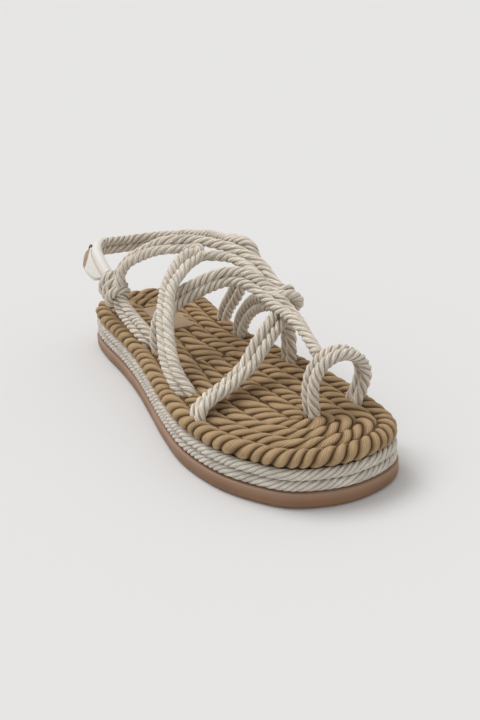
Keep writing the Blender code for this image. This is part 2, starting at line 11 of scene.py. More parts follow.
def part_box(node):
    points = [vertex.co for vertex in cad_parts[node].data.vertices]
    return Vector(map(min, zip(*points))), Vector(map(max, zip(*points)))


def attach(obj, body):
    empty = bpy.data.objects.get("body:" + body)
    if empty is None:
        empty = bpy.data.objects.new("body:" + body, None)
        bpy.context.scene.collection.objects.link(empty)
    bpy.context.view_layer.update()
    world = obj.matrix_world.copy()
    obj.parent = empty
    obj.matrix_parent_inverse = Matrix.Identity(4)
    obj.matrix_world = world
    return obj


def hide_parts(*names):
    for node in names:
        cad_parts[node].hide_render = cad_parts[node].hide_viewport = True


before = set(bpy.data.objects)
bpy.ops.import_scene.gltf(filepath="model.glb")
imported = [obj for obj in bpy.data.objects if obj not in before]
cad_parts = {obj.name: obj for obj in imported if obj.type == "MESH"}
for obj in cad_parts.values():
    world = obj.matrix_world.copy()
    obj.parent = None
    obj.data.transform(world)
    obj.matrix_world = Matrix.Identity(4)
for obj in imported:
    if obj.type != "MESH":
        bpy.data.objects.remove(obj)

bl_info = {
    "name": "Rope Sandal",
    "version": (1, 0, 0),
    "blender": (4, 5, 0),
    "location": "View3D > Sidebar > Sandal",
    "description": "Builds a flat rope sandal for the right foot and a plain stage for it",
    "category": "Add Mesh",
}

MM = 0.001
BODY = "root"
SPAN_SAMPLES = 16
# Spacing in millimetres: sections of the CAD's pairs, rings of a strap rope, points of a pair's line
CAD_STEP = 7.0
ROPE_STEP = 0.7
PAIR_STEP = 2.0
PLATE_SMOOTHING = math.radians(35.0)
SHEET_SMOOTHING = math.radians(40.0)

# Outline of the sole in millimetres: station along the foot, outer edge, inner edge
SOLE_HALF_LENGTH = 127.5
OUTLINE = (
    (-120.0, 27.0, -25.9),
    (-110.0, 32.4, -31.4),
    (-90.0, 34.6, -33.7),
    (-60.0, 34.4, -31.4),
    (-30.0, 35.7, -30.6),
    (0.0, 39.0, -35.0),
    (30.0, 42.7, -40.8),
    (60.0, 44.1, -43.7),
    (90.0, 37.9, -44.1),
    (110.0, 26.7, -41.2),
    (120.0, 17.5, -34.0),
)
HEEL_TIP_X = 0.5
TOE_TIP_X = -8.0

# Middle line that the footbed's rope rings close in on: station, x
SPINE = (
    (-93.0, 0.5),
    (-30.0, 2.4),
    (30.0, 1.0),
    (84.0, -5.0),
)
RING_ROOM = 1.5
# Inner rows lie pressed flat: their height as a share of the outermost row's
INNER_ROW_SHARE = 0.74
SIDE_STATIONS = 90
TOE_SPOKES = 60
HEEL_SPOKES = 50
OUTSOLE_POINTS = 320
SIDE_ROPE_POINTS = 1100
BED_RING_POINTS = (640, 570, 500)
CORE_POINTS = 220

# Footbed in millimetres: outermost row and core in from the outline, core's top over the inner rows' middle
BED_INSET = 0.6
CORE_INSET = 4.8
CORE_RISE = 0.8
INNER_RING_SINK = 0.35
MIDDLE_ROW_SINK = 0.25
MIDDLE_ROW_TAPER = 5.0
MIDDLE_ROW_PAST_HEEL = 6.0
MIDDLE_ROW_PAST_TOE = 4.0
# Rows are pressed together: their width as a share of the room they have
RING_PRESS = 1.03
INNER_RING_PRESS = 1.06
MIDDLE_ROW_PRESS = 1.05
# How the footbed's lay changes along the foot: stations, shares of the usual lay
ROW_LAY = ((10.0, 85.0), (1.22, 1.0))
EDGE_ROW_LAY = ((80.0, 110.0), (1.0, 0.8))
INNER_RING_LAY = ((60.0, 88.0), (0.95, 0.85))

# Directions that the flat face of a rope pair looks in
FRONT = (0.37, 0.85, 0.38)
OUT = (1.0, 0.0, 0.2)
OUT_FRONT = (0.85, 0.45, 0.3)
OUT_UP = (0.6, 0.1, 0.8)
OUT_BACK = (0.75, -0.3, 0.6)
BACK = (0.0, -1.0, 0.1)
IN = (-1.0, 0.0, 0.2)
IN_UP = (-0.6, 0.2, 0.8)
UP = (0.0, 0.1, 1.0)
EDGEWAYS = (-0.88, 0.2, 0.42)
ROPE_END_Z = 19.5

# Routes of the rope pairs, anchor to anchor, in millimetres: x, y, z, facing
TOE_LOOP = (
    (-10.5, 86.5, ROPE_END_Z, OUT),
    (-10.3, 86.5, 27.0, OUT),
    (-10.5, 85.5, 37.0, OUT),
    (-13.3, 85.5, 45.0, OUT),
    (-19.6, 85.5, 50.0, UP),
    (-28.0, 85.0, 50.4, UP),
    (-35.5, 84.5, 46.0, IN),
    (-38.5, 84.0, 38.5, IN),
    (-36.8, 83.8, 31.0, IN),
    (-34.0, 83.8, 25.0, IN),
    (-33.5, 83.8, ROPE_END_Z, IN),
)
FOREFOOT_BAND = (
    (36.4, 64.8, ROPE_END_Z, OUT),
    (36.4, 64.8, 25.0, OUT),
    (34.6, 63.9, 28.6, OUT_UP),
    (28.1, 60.1, 30.7, OUT_UP),
    (20.5, 55.8, 31.4, OUT_UP),
    (9.5, 49.6, 33.4, OUT_UP),
    (1.0, 44.8, 36.3, OUT_UP),
    (-8.6, 39.2, 43.2, FRONT),
    (-18.0, 34.0, 49.0, FRONT),
    (-24.0, 30.5, 51.0, UP),
    (-27.8, 29.0, 45.0, IN),
    (-29.5, 27.5, 35.0, IN),
    (-30.2, 25.0, 26.0, IN),
    (-30.2, 24.5, ROPE_END_Z, IN),
)
DIAGONAL = (
    (-18.2, 81.0, 48.0, EDGEWAYS),
    (-19.8, 74.0, 48.5, EDGEWAYS),
    (-22.5, 60.0, 51.0, EDGEWAYS),
    (-24.6, 43.0, 54.0, IN_UP),
    (-24.7, 30.5, 56.0, UP),
    (-22.8, 19.0, 60.0, FRONT),
    (-20.5, 10.0, 62.8, FRONT),
    (-16.8, 2.0, 65.0, FRONT),
    (-10.6, -5.0, 64.4, FRONT),
    (-2.5, -10.0, 61.2, FRONT),
    (5.8, -15.0, 56.9, FRONT),
    (14.4, -20.0, 50.0, FRONT),
    (20.5, -22.5, 40.5, OUT_FRONT),
    (23.0, -21.5, 30.0, OUT_FRONT),
    (23.0, -20.0, 24.0, OUT_FRONT),
    (23.0, -20.0, ROPE_END_Z, OUT_FRONT),
)
INSTEP = (
    (30.5, 38.0, ROPE_END_Z, OUT_FRONT),
    (30.7, 37.5, 24.0, OUT_FRONT),
    (32.8, 31.0, 29.7, OUT_FRONT),
    (33.0, 22.0, 37.2, OUT_FRONT),
    (30.7, 13.0, 44.1, OUT_FRONT),
    (27.3, 4.0, 51.1, OUT_FRONT),
    (22.4, -6.0, 57.7, OUT_FRONT),
    (15.9, -15.0, 63.6, OUT_FRONT),
    (6.5, -24.0, 68.2, FRONT),
    (-2.7, -30.5, 70.6, FRONT),
    (-11.5, -34.0, 71.6, FRONT),
    (-18.5, -31.0, 71.4, FRONT),
)
ANKLE_AND_BRIDGE = (
    (28.0, -73.5, 45.0, OUT_FRONT),
    (27.6, -70.0, 51.5, OUT),
    (25.4, -69.0, 57.2, OUT_BACK),
    (21.4, -68.3, 61.6, OUT_BACK),
    (16.4, -65.5, 65.2, OUT_BACK),
    (10.3, -60.5, 69.0, OUT_BACK),
    (2.3, -53.4, 71.9, FRONT),
    (-6.5, -46.0, 72.8, FRONT),
    (-12.5, -39.0, 72.4, FRONT),
    (-18.5, -30.0, 71.5, FRONT),
    (-22.6, -21.0, 70.9, FRONT),
    (-25.6, -10.0, 69.2, FRONT),
    (-27.2, 1.0, 66.6, FRONT),
    (-26.5, 12.0, 63.3, FRONT),
    (-27.0, 20.0, 60.8, FRONT),
    (-33.5, 22.5, 59.5, IN_UP),
    (-37.3, 20.0, 54.7, IN),
    (-36.3, 14.5, 50.5, IN),
    (-33.0, 9.0, 49.7, IN),
    (-29.6, 3.0, 49.8, IN),
    (-27.3, -6.0, 46.5, IN),
    (-25.1, -16.0, 37.5, IN),
    (-24.2, -21.5, 27.0, IN),
    (-24.2, -22.5, ROPE_END_Z, IN),
)
HEEL_STRAP = (
    (23.5, -32.0, ROPE_END_Z, OUT_FRONT),
    (23.7, -33.5, 25.5, OUT_FRONT),
    (25.0, -39.0, 29.2, OUT_FRONT),
    (26.4, -50.0, 32.0, OUT_FRONT),
    (27.8, -64.5, 36.8, OUT_FRONT),
    (28.0, -73.5, 43.2, OUT),
    (28.9, -84.0, 47.8, OUT),
    (29.3, -96.0, 53.0, OUT),
    (27.6, -108.5, 57.0, OUT),
    (22.0, -117.0, 58.8, BACK),
    (14.0, -121.0, 57.6, BACK),
    (5.5, -122.3, 56.6, BACK),
    (-3.8, -121.5, 56.8, BACK),
    (-14.9, -116.0, 57.6, BACK),
    (-23.5, -104.0, 59.7, IN),
    (-29.4, -86.0, 63.2, IN),
    (-31.6, -64.0, 68.0, IN_UP),
    (-30.5, -45.0, 72.0, UP),
    (-29.8, -34.0, 73.8, UP),
    (-30.6, -25.5, 74.6, UP),
    (-32.7, -20.5, 72.8, IN_UP),
    (-33.3, -20.0, 68.3, IN),
    (-33.0, -23.0, 62.0, IN),
    (-31.5, -29.5, 53.5, IN),
    (-29.3, -37.0, 43.5, IN),
    (-27.2, -44.5, 33.0, IN),
    (-26.0, -48.0, 25.5, IN),
    (-26.0, -49.0, ROPE_END_Z, IN),
)

# Turn of the rope that runs up the instep and back to the ankle: x, y, z
INSTEP_BIGHT = (
    (-6.5, -34.0, 70.6),
    (-9.8, -38.0, 71.4),
    (-8.2, -42.6, 71.0),
)
# Where the rope that goes on to the bridge leaves the instep, and where it joins the bridge
LEAVES_INSTEP_AT = (-9.0, -33.0, 70.0)
JOINS_BRIDGE_AT = (-21.0, -23.0, 69.5)
KNOT_AT = (28.3, -76.5, 44.8)
KNOT_TURNS = 3
KNOT_STEPS_PER_TURN = 40
KNOT_STEP = 0.13
TAB_FROM = (28.9, -86.0, 48.8)
TAB_TO = (21.0, -117.8, 58.7)
# Reach of the tab's flange in millimetres: share of the way from the knot end, reach
FLANGE_REACH = (
    (0.0, 3.4),
    (0.05, 4.9),
    (0.2, 6.2),
    (0.4, 5.6),
    (0.6, 3.0),
    (0.8, 0.3),
    (1.0, 0.3),
)
# Stretch of the flange whose raw edge shows, as shares of the way
RIM_FROM = 0.28
RIM_TO = 0.78
# Half of the sleeve's section runs from its slit to its middle, in degrees
SLEEVE_FROM = -40.0
SLEEVE_TO = 90.0
SLEEVE_POINTS = 31
# Thickness of the flange and of its raw rim, and the patch's rise above the CAD's, in metres
FLANGE_WALL = 0.0021
RIM_WALL = 0.0024
PATCH_RISE = 0.0005

# Section of one strand of a laid rope, as shares of the way from its crest to the next groove
FAT_STRAND = (-1.0, -0.92, -0.7, -0.37, 0.0, 0.37, 0.7, 0.92)
THIN_STRAND = (-1.0, -0.88, -0.5, 0.0, 0.5, 0.88)
# Groove depth, as a share of the rope's radius, at which the painted groove shade is full
DEEP_GROOVE = 0.32
# Unevenness along a rope: swing, wave in millimetres, seed. The twist swings in radians, a strap rope
# strays from its line in millimetres, and its radius swells by a share
TWIST_SWAYS = (
    (0.35, 47.0, 2.0),
    (0.2, 19.0, 5.0),
)
STRAY = (0.16, 23.0, 3.0)
SWELL = (0.025, 31.0, 7.0)

# Camera: place in millimetres, then its right, up and back directions
CAMERA_PLACE = (179.42, 447.56, 219.98)
CAMERA_RIGHT = (-0.90912, 0.41385, -0.04727)
CAMERA_UP = (-0.19763, -0.32867, 0.92354)
CAMERA_BACK = (0.36667, 0.84895, 0.38059)
KEY_FROM = (0.3, -0.5, 1.0)


def length(name, description, default):
    return bpy.props.FloatProperty(
        name=name, description=description, default=default, min=0.0,
        subtype='DISTANCE', unit='LENGTH', precision=4)


def colour(name, description, default):
    return bpy.props.FloatVectorProperty(
        name=name, description=description, default=default, size=3, min=0.0, max=1.0, subtype='COLOR')


class SandalSizes(bpy.types.PropertyGroup):
    """Sizes of the sandal's ropes, sole and leather pieces"""
    outsole_height: length("Outsole height", "Thickness of the rubber outsole", 0.0075)
    outsole_round: length("Outsole rounding", "Rounding of the outsole's lower edge", 0.0026)
    side_rope_radius: length("Side rope radius", "Half the thickness of a white side rope", 0.00255)
    side_rope_inset: length("Side rope inset", "From the outline in to the side ropes' middle", 0.0032)
    side_rope_pitch: length("Side rope lay", "One full turn of the side ropes' strands", 0.0195)
    bed_rope_width: length("Footbed rope width", "Width of one coiled rope row", 0.0092)
    bed_rope_height: length("Footbed rope height", "Height of one coiled rope row", 0.0084)
    bed_rope_pitch: length("Footbed rope lay", "One full turn of the footbed's strands", 0.0235)
    edge_rope_pitch: length("Edge rope lay", "One full turn of the outermost row's strands", 0.021)
    bed_top: length("Footbed top", "Height of the footbed's rope crests above the floor", 0.0260)
    strap_radius: length("Strap rope radius", "Half the thickness of a strap rope", 0.0029)
    strap_pitch: length("Strap rope lay", "One full turn of the strap ropes' strands", 0.0165)
    pair_half_spacing: length("Pair spacing", "Half the distance between the two ropes of a pair", 0.0025)
    patch_width: length("Patch width", "Width of the bare heel patch", 0.017)
    patch_length: length("Patch length", "Length of the bare heel patch", 0.042)
    tab_wall: length("Tab wall", "Thickness of the heel tab's leather", 0.0011)
    rivet_radius: length("Rivet radius", "Radius of the tab's rivet cap", 0.0021)


class SandalColours(bpy.types.PropertyGroup):
    """Colours of the sandal's finishes, and of the painted shade between the ropes' strands"""
    outsole: colour("Outsole", "Tan-brown rubber", (0.28, 0.152, 0.081))
    side_rope: colour("Side rope", "White cotton rope", (0.83, 0.765, 0.67))
    # Painted shade: the white rope's colour down between its strands
    side_rope_groove_shade: colour("Side rope groove shade", "Painted shade between the white rope's strands", (0.56, 0.485, 0.395))
    footbed: colour("Footbed rope", "Tan cotton rope", (0.55, 0.38, 0.214))
    # Painted shade: the tan rope's colour down between its strands, also used for the footbed's core
    footbed_groove_shade: colour("Footbed groove shade", "Painted shade between the tan rope's strands", (0.10, 0.047, 0.014))
    strap: colour("Strap rope", "Ecru rope", (0.90, 0.82, 0.705))
    # Painted shade: the ecru rope's colour down between its strands
    strap_groove_shade: colour("Strap groove shade", "Painted shade between the ecru rope's strands", (0.54, 0.435, 0.32))
    patch: colour("Heel patch", "Bare tan leather", (0.40, 0.275, 0.17))
    tab: colour("Heel tab", "Off-white leather", (0.78, 0.75, 0.70))
    tab_edge: colour("Tab edge", "Raw tan edge of the tab's leather", (0.42, 0.30, 0.19))
    rivet: colour("Rivet", "Dark metal", (0.10, 0.095, 0.09))
    floor: colour("Floor", "Pale plain floor", (0.715, 0.711, 0.71))


class SandalStage(bpy.types.PropertyGroup):
    """Camera, light and floor"""
    lens: bpy.props.FloatProperty(
        name="Lens", description="Focal length on a 36 mm frame", default=50.0, min=1.0,
        subtype='DISTANCE_CAMERA')
    floor_size: length("Floor size", "Side of the square floor", 40.0)
    sky: bpy.props.FloatProperty(
        name="Sky light", description="Strength of the even light from all round", default=0.68, min=0.0)
    key: bpy.props.FloatProperty(
        name="Key light", description="Strength of the broad light from above", default=1.6, min=0.0)
    key_spread: bpy.props.FloatProperty(
        name="Key spread", description="How broad the light from above is", default=math.radians(32.0),
        min=0.0, subtype='ANGLE', unit='ROTATION')


def sizes():
    return bpy.context.scene.sandal_sizes


def colours():
    return bpy.context.scene.sandal_colours


def unit(vectors):
    return vectors / np.linalg.norm(vectors, axis=-1, keepdims=True)


def spline(points, closed=False, per_span=SPAN_SAMPLES):
    """Centripetal Catmull-Rom curve through the points, as closely spaced samples."""
    points = np.array(points, dtype=float)
    if closed:
        points = np.vstack([points[-1:], points, points[:2]])
    else:
        before = 2.0 * points[:1] - points[1:2]
        after = 2.0 * points[-1:] - points[-2:-1]
        points = np.vstack([before, points, after])
    spans = np.sqrt(np.linalg.norm(np.diff(points, axis=0), axis=1))
    knots = np.concatenate([[0.0], np.cumsum(spans)])
    pieces = []
    for first in range(len(points) - 3):
        k = knots[first:first + 4]
        t = np.linspace(k[1], k[2], per_span, endpoint=False)[:, None]
        levels = list(points[first:first + 4])
        for width in (1, 2, 3):
            levels = [
                blend(levels[i], levels[i + 1], k, i, width, t)
                for i in range(len(levels) - 1)
            ]
        pieces.append(levels[0])
    curve = np.vstack(pieces)
    if not closed:
        curve = np.vstack([curve, points[-2]])
    return curve


def blend(start, end, knots, i, width, t):
    """One step of the curve's pyramid: the middle span's own knots cap its reach."""
    if width == 3:
        low = knots[1]
        high = knots[2]
    else:
        low = knots[i]
        high = knots[i + width]
    return start * (high - t) / (high - low) + end * (t - low) / (high - low)


def arc_lengths(curve):
    steps = np.linalg.norm(np.diff(curve, axis=0), axis=1)
    return np.concatenate([[0.0], np.cumsum(steps)])


def resample(curve, count, closed=False):
    """The same curve as evenly spaced points."""
    if closed:
        curve = np.vstack([curve, curve[:1]])
    lengths = arc_lengths(curve)
    at = np.linspace(0.0, lengths[-1], count, endpoint=not closed)
    return np.column_stack([np.interp(at, lengths, column) for column in curve.T])


def nearest(path, place):
    """Number of the path's point that is nearest to a place."""
    return int(np.argmin(np.linalg.norm(path - np.array(place), axis=1)))


def smooth(values, passes, closed=False):
    """Rows of numbers evened out by their neighbours."""
    for _ in range(passes):
        if closed:
            before = np.roll(values, 1, axis=0)
            after = np.roll(values, -1, axis=0)
        else:
            before = np.concatenate([values[:1], values[:-1]])
            after = np.concatenate([values[1:], values[-1:]])
        values = (before + 2.0 * values + after) / 4.0
    return values


def across(vectors, tangent):
    """Unit vectors with their part along the tangent taken out."""
    along = np.sum(vectors * tangent, axis=1, keepdims=True)
    return unit(vectors - along * tangent)


def tangents(path, closed=False):
    if closed:
        return unit(np.roll(path, -1, axis=0) - np.roll(path, 1, axis=0))
    return unit(np.gradient(path, axis=0))


def fan(edge, centre, first_angle, count):
    """Where evenly turned rays from a point meet the outline, over half a turn."""
    arms = edge - centre
    angles = np.mod(np.arctan2(arms[:, 1], arms[:, 0]), math.tau)
    order = np.argsort(angles)
    reach = np.linalg.norm(arms, axis=1)[order]
    rays = first_angle + math.pi * np.arange(1, count + 1) / (count + 1)
    reach = np.interp(rays, angles[order], reach, period=math.tau)
    return centre + np.column_stack([np.cos(rays), np.sin(rays)]) * reach[:, None]


def sole_spokes():
    """Outline points of the outsole and, for each, the spine point that it closes in on."""
    outer = [(x_outer, y) for y, x_outer, _ in OUTLINE]
    inner = [(x_inner, y) for y, _, x_inner in reversed(OUTLINE)]
    corners = [(HEEL_TIP_X, -SOLE_HALF_LENGTH)] + outer
    corners += [(TOE_TIP_X, SOLE_HALF_LENGTH)] + inner
    edge = spline(corners, closed=True)
    toe_start = len(edge) // 2
    outer_edge = edge[:toe_start + 1]
    inner_edge = np.vstack([edge[toe_start:], edge[:1]])[::-1]
    spine_y, spine_x = np.array(SPINE).T
    stations = np.linspace(spine_y[0], spine_y[-1], SIDE_STATIONS)
    spine = np.column_stack([np.interp(stations, spine_y, spine_x), stations])
    outer_side = np.column_stack([np.interp(stations, outer_edge[:, 1], outer_edge[:, 0]), stations])
    inner_side = np.column_stack([np.interp(stations, inner_edge[:, 1], inner_edge[:, 0]), stations])
    toe = fan(edge, spine[-1], 0.0, TOE_SPOKES)
    heel = fan(edge, spine[0], math.pi, HEEL_SPOKES)
    points = np.vstack([outer_side, toe, inner_side[::-1], heel])
    ends = [spine, np.tile(spine[-1], (TOE_SPOKES, 1)), spine[::-1], np.tile(spine[0], (HEEL_SPOKES, 1))]
    return points, np.vstack(ends)


def outline_ring(inset, count, z):
    """Evenly spaced points of the sole's outline, moved in towards the spine."""
    edge, spine = sole_spokes()
    loop = smooth(edge + unit(spine - edge) * inset, 6, closed=True)
    loop = resample(loop, count, closed=True)
    return np.column_stack([loop, np.full(count, z)])


def deselect():
    bpy.ops.object.select_all(action='DESELECT')


def make_active(piece):
    deselect()
    piece.select_set(True)
    bpy.context.view_layer.objects.active = piece


def join_pieces(pieces, name):
    """Several meshes made one object."""
    deselect()
    for piece in pieces:
        piece.select_set(True)
    bpy.context.view_layer.objects.active = pieces[0]
    bpy.ops.object.join()
    joined = bpy.context.view_layer.objects.active
    joined.name = name
    joined.data.name = name
    return joined


def hand_over(piece, node, material):
    """Give a finished piece its material and its body, and hide the CAD part that it replaces."""
    piece.data.materials.clear()
    piece.data.materials.append(material)
    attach(piece, BODY)
    if node:
        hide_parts(node)


def raise_flat(height):
    """Extrude the flat piece in hand upwards, and turn its faces out."""
    bpy.ops.mesh.select_all(action='SELECT')
    bpy.ops.mesh.extrude_region_move(TRANSFORM_OT_translate={"value": (0.0, 0.0, height)})
    bpy.ops.mesh.select_all(action='SELECT')
    bpy.ops.mesh.normals_make_consistent(inside=False)


def round_rim(piece, z, offset, segments):
    """Bevel the edges of the piece's rim that lie flat at one height."""
    bpy.ops.mesh.select_all(action='DESELECT')
    work = bmesh.from_edit_mesh(piece.data)
    work.select_mode = {'EDGE'}
    for edge in work.edges:
        level = all(abs(vertex.co.z - z) < 0.00001 for vertex in edge.verts)
        upright = any(abs(face.normal.z) < 0.5 for face in edge.link_faces)
        edge.select_set(level and upright)
    bmesh.update_edit_mesh(piece.data)
    bpy.context.tool_settings.mesh_select_mode = (False, True, False)
    bpy.ops.mesh.bevel(offset=offset, segments=segments, affect='EDGES')


def outline_plate(name, inset, count, bottom, height):
    """A plate cut to the sole's outline, left in edit mode."""
    deselect()
    bpy.ops.mesh.primitive_circle_add(vertices=count, radius=0.1, fill_type='NGON')
    piece = bpy.context.active_object
    piece.name = name
    for vertex, place in zip(piece.data.vertices, outline_ring(inset, count, 0.0) * MM):
        vertex.co = (place[0], place[1], bottom)
    bpy.ops.object.mode_set(mode='EDIT')
    raise_flat(height)
    return piece


def leave_smooth(piece):
    """Leave edit mode and smooth the piece's rounded edges."""
    bpy.ops.object.mode_set(mode='OBJECT')
    make_active(piece)
    bpy.ops.object.shade_smooth_by_angle(angle=PLATE_SMOOTHING)


def soften(piece, width, segments):
    """Round the piece's sharp edges after its other modifiers, and smooth it."""
    edge = piece.modifiers.new("edge", 'BEVEL')
    edge.width = width
    edge.segments = segments
    edge.limit_method = 'ANGLE'
    make_active(piece)
    for modifier in piece.modifiers.keys():
        bpy.ops.object.modifier_apply(modifier=modifier)
    bpy.ops.object.shade_smooth_by_angle(angle=SHEET_SMOOTHING)


def grid_faces(rows, columns, rows_close=False, columns_close=False):
    """Four-cornered faces of a grid of points, which may close up either way."""
    row_spans = rows if rows_close else rows - 1
    column_spans = columns if columns_close else columns - 1
    i, j = np.meshgrid(np.arange(row_spans), np.arange(column_spans), indexing='ij')
    i_next = (i + 1) % rows
    j_next = (j + 1) % columns
    corners = [i * columns + j, i * columns + j_next, i_next * columns + j_next, i_next * columns + j]
    return np.stack(corners, axis=-1).reshape(-1, 4).tolist()


def strand_section(strands, shares, circle):
    """Angles and radii of a laid rope's outline, and how deep each point lies in a groove, which sets how
    much painted shade the rope's colour gets there.

    circle is the radius of one strand as a share of the rope's radius.
    """
    centre = 1.0 - circle
    angles = []
    radii = []
    for strand in range(strands):
        for share in shares:
            a = share * math.pi / strands
            radii.append(centre * math.cos(a) + math.sqrt(circle ** 2 - (centre * math.sin(a)) ** 2))
            angles.append(a + math.tau * strand / strands)
    radii = np.array(radii)
    groove_shade = np.minimum((1.0 - radii) / DEEP_GROOVE, 1.0)
    return np.array(angles), radii, groove_shade


def sway(at, total, phase, swing, wave, seed):
    """Slow swing along a rope, which meets itself where the rope is closed."""
    waves = max(1, round(total / wave))
    return swing * np.sin(math.tau * waves * at / total + seed * phase)


def per_point(path, value):
    """A number for each point of the path, from a row of numbers or a single one."""
    return np.broadcast_to(np.asarray(value, dtype=float), (len(path),))


def laid_rope(name, path, first, second, half_first, half_second, pitch,
              closed=False, phase=0.0, strands=3, shares=FAT_STRAND, circle=0.58, lean=0.0, lean_at=0.0):
    """A rope of strands laid left-handed along a path, as one closed mesh.

    first and second are unit directions square to the path, with first x second along it, and
    half_first and half_second are the rope's half-sizes that way, in millimetres. The strands run
    steeper by the share lean on the side at the angle lean_at.
    """
    angles, radii, groove_shade = strand_section(strands, shares, circle)
    steps = arc_lengths(np.vstack([path, path[:1]]) if closed else path)
    total = steps[-1]
    at = steps[:len(path)]
    pitch = per_point(path, pitch)
    turns = np.concatenate([[0.0], np.cumsum(np.diff(at) / pitch[1:])])
    if closed:
        whole = turns[-1] + (total - at[-1]) / pitch[0]
        turns = turns * round(whole) / whole
    twist = -math.tau * turns
    for uneven in TWIST_SWAYS:
        twist = twist + sway(at, total, phase, *uneven)
    theta = angles[None, :] + twist[:, None] + phase
    theta = theta + lean * np.sin(theta - lean_at)
    reach_first = (np.cos(theta) * radii) * per_point(path, half_first)[:, None]
    reach_second = (np.sin(theta) * radii) * per_point(path, half_second)[:, None]
    rings = path[:, None, :] + reach_first[:, :, None] * first[:, None, :]
    rings = rings + reach_second[:, :, None] * second[:, None, :]
    count = len(angles)
    spans = len(path) if closed else len(path) - 1
    faces = grid_faces(len(path), count, closed, True)
    j = np.tile(np.arange(count), spans)
    u = np.stack([j, j + 1, j + 1, j], axis=-1).reshape(-1) * strands / count
    v_next = np.append(at[1:], total)[:spans] if closed else at[1:]
    v_low = np.repeat(at[:spans], count)
    v_high = np.repeat(v_next, count)
    v = np.stack([v_low, v_low, v_high, v_high], axis=-1).reshape(-1) / 10.0
    if not closed:
        faces.append(list(range(count)))
        faces.append(list(range((len(path) - 1) * count, len(path) * count)))
        ends = np.zeros(2 * count)
        u = np.concatenate([u, ends])
        v = np.concatenate([v, ends])
    mesh = bpy.data.meshes.new(name)
    mesh.from_pydata((rings.reshape(-1, 3) * MM).tolist(), [], faces)
    uv = mesh.uv_layers.new(name="lay")
    uv.data.foreach_set("uv", np.column_stack([u, v]).astype(np.float32).ravel())
    # Each point's groove depth, kept as the mask for the painted groove shade
    depth = mesh.attributes.new("groove_shade", 'FLOAT', 'POINT')
    depth.data.foreach_set("value", np.tile(groove_shade, len(path)).astype(np.float32))
    return shown(name, mesh)


def shown(name, mesh):
    """A mesh with its faces out and smooth, put in the scene."""
    work = bmesh.new()
    work.from_mesh(mesh)
    bmesh.ops.recalc_face_normals(work, faces=work.faces)
    work.to_mesh(mesh)
    work.free()
    mesh.shade_smooth()
    piece = bpy.data.objects.new(name, mesh)
    bpy.context.scene.collection.objects.link(piece)
    return piece


def level_rope(name, path, half_height, half_width, pitch, closed=True, **look):
    """A laid rope that runs level, with its own height and width."""
    up = np.tile(np.array([[0.0, 0.0, 1.0]]), (len(path), 1))
    out = np.cross(tangents(path, closed=closed), up)
    return laid_rope(name, path, up, out, half_height, half_width, pitch, closed=closed, **look)


def lay_pair(route, step):
    """Places along a pair's route, with the direction it faces and the one across it."""
    points = np.array([row[:3] for row in route])
    facing = unit(np.array([row[3] for row in route]))
    curve = spline(points)
    lengths = arc_lengths(curve)
    path = resample(curve, int(round(lengths[-1] / step)) + 1)
    at = np.linspace(0.0, lengths[-1], len(path))
    row_at = lengths[::SPAN_SAMPLES]
    turned = np.column_stack([np.interp(at, row_at, column) for column in facing.T])
    tangent = tangents(path)
    passes = int(3.0 * (CAD_STEP / step) ** 2)
    normal = across(turned, tangent)
    normal = across(smooth(normal, passes), tangent)
    return path, normal, np.cross(tangent, normal)


def pair_side(route, sign):
    """Middle line of one rope of a pair."""
    path, _, side = lay_pair(route, PAIR_STEP)
    return path + side * sign * sizes().pair_half_spacing / MM


def tab_frames():
    """The heel pair under the tab: places, outward and side directions."""
    path, normal, side = lay_pair(HEEL_STRAP, ROPE_STEP)
    first = nearest(path, TAB_FROM)
    last = nearest(path, TAB_TO)
    under = slice(first, last + 1)
    return path[under], normal[under], side[under]


def carried(tangent):
    """Directions square to a path, carried along it without twisting."""
    arrow = np.array((0.31, 0.57, 0.76))
    rows = []
    for along in tangent:
        arrow = arrow - along * np.dot(arrow, along)
        arrow = arrow / np.linalg.norm(arrow)
        rows.append(arrow)
    return np.array(rows)


def round_rope(name, line, lay=(1.0, 1.0), phase=0.0, circle=0.47):
    """A single strap rope along a line of points; lay gives shares of the usual lay along it."""
    curve = spline(line, per_span=8)
    path = resample(curve, int(arc_lengths(curve)[-1] / ROPE_STEP) + 1)
    tangent = tangents(path)
    first = carried(tangent)
    second = np.cross(tangent, first)
    at = arc_lengths(path)
    path = path + sway(at, at[-1], phase, *STRAY)[:, None] * first
    radius = sizes().strap_radius / MM * (1.0 + sway(at, at[-1], phase, *SWELL))
    share = at / at[-1]
    pitch = sizes().strap_pitch / MM * np.interp(share, np.linspace(0.0, 1.0, len(lay)), lay)
    return laid_rope(
        name, path, first, second, radius, radius, pitch,
        phase=phase, strands=4, shares=THIN_STRAND, circle=circle)


def add_texture(tree, kind, **values):
    node = tree.nodes.new(kind)
    for name, value in values.items():
        node.inputs[name].default_value = value
    return node


def math_node(tree, operation, first, second=None):
    """A Math node fed by sockets or plain numbers."""
    node = tree.nodes.new('ShaderNodeMath')
    node.operation = operation
    for socket, value in zip(node.inputs, (first, second)):
        if value is None:
            continue
        if isinstance(value, bpy.types.NodeSocket):
            tree.links.new(value, socket)
        else:
            socket.default_value = value
    return node.outputs[0]


def map_range(tree, value, low, high, to_low, to_high):
    node = tree.nodes.new('ShaderNodeMapRange')
    tree.links.new(value, node.inputs['Value'])
    for name, number in (('From Min', low), ('From Max', high), ('To Min', to_low), ('To Max', to_high)):
        node.inputs[name].default_value = number
    return node.outputs['Result']


def mix_colour(tree, factor, first, second, mode='MIX'):
    """A colour Mix node: each colour is a socket or a plain colour."""
    node = tree.nodes.new('ShaderNodeMix')
    node.data_type = 'RGBA'
    node.blend_type = mode
    for number, value in ((0, factor), (6, first), (7, second)):
        socket = node.inputs[number]
        if isinstance(value, bpy.types.NodeSocket):
            tree.links.new(value, socket)
        elif isinstance(value, float):
            socket.default_value = value
        else:
            socket.default_value = (*value, 1.0)
    return node.outputs[2]


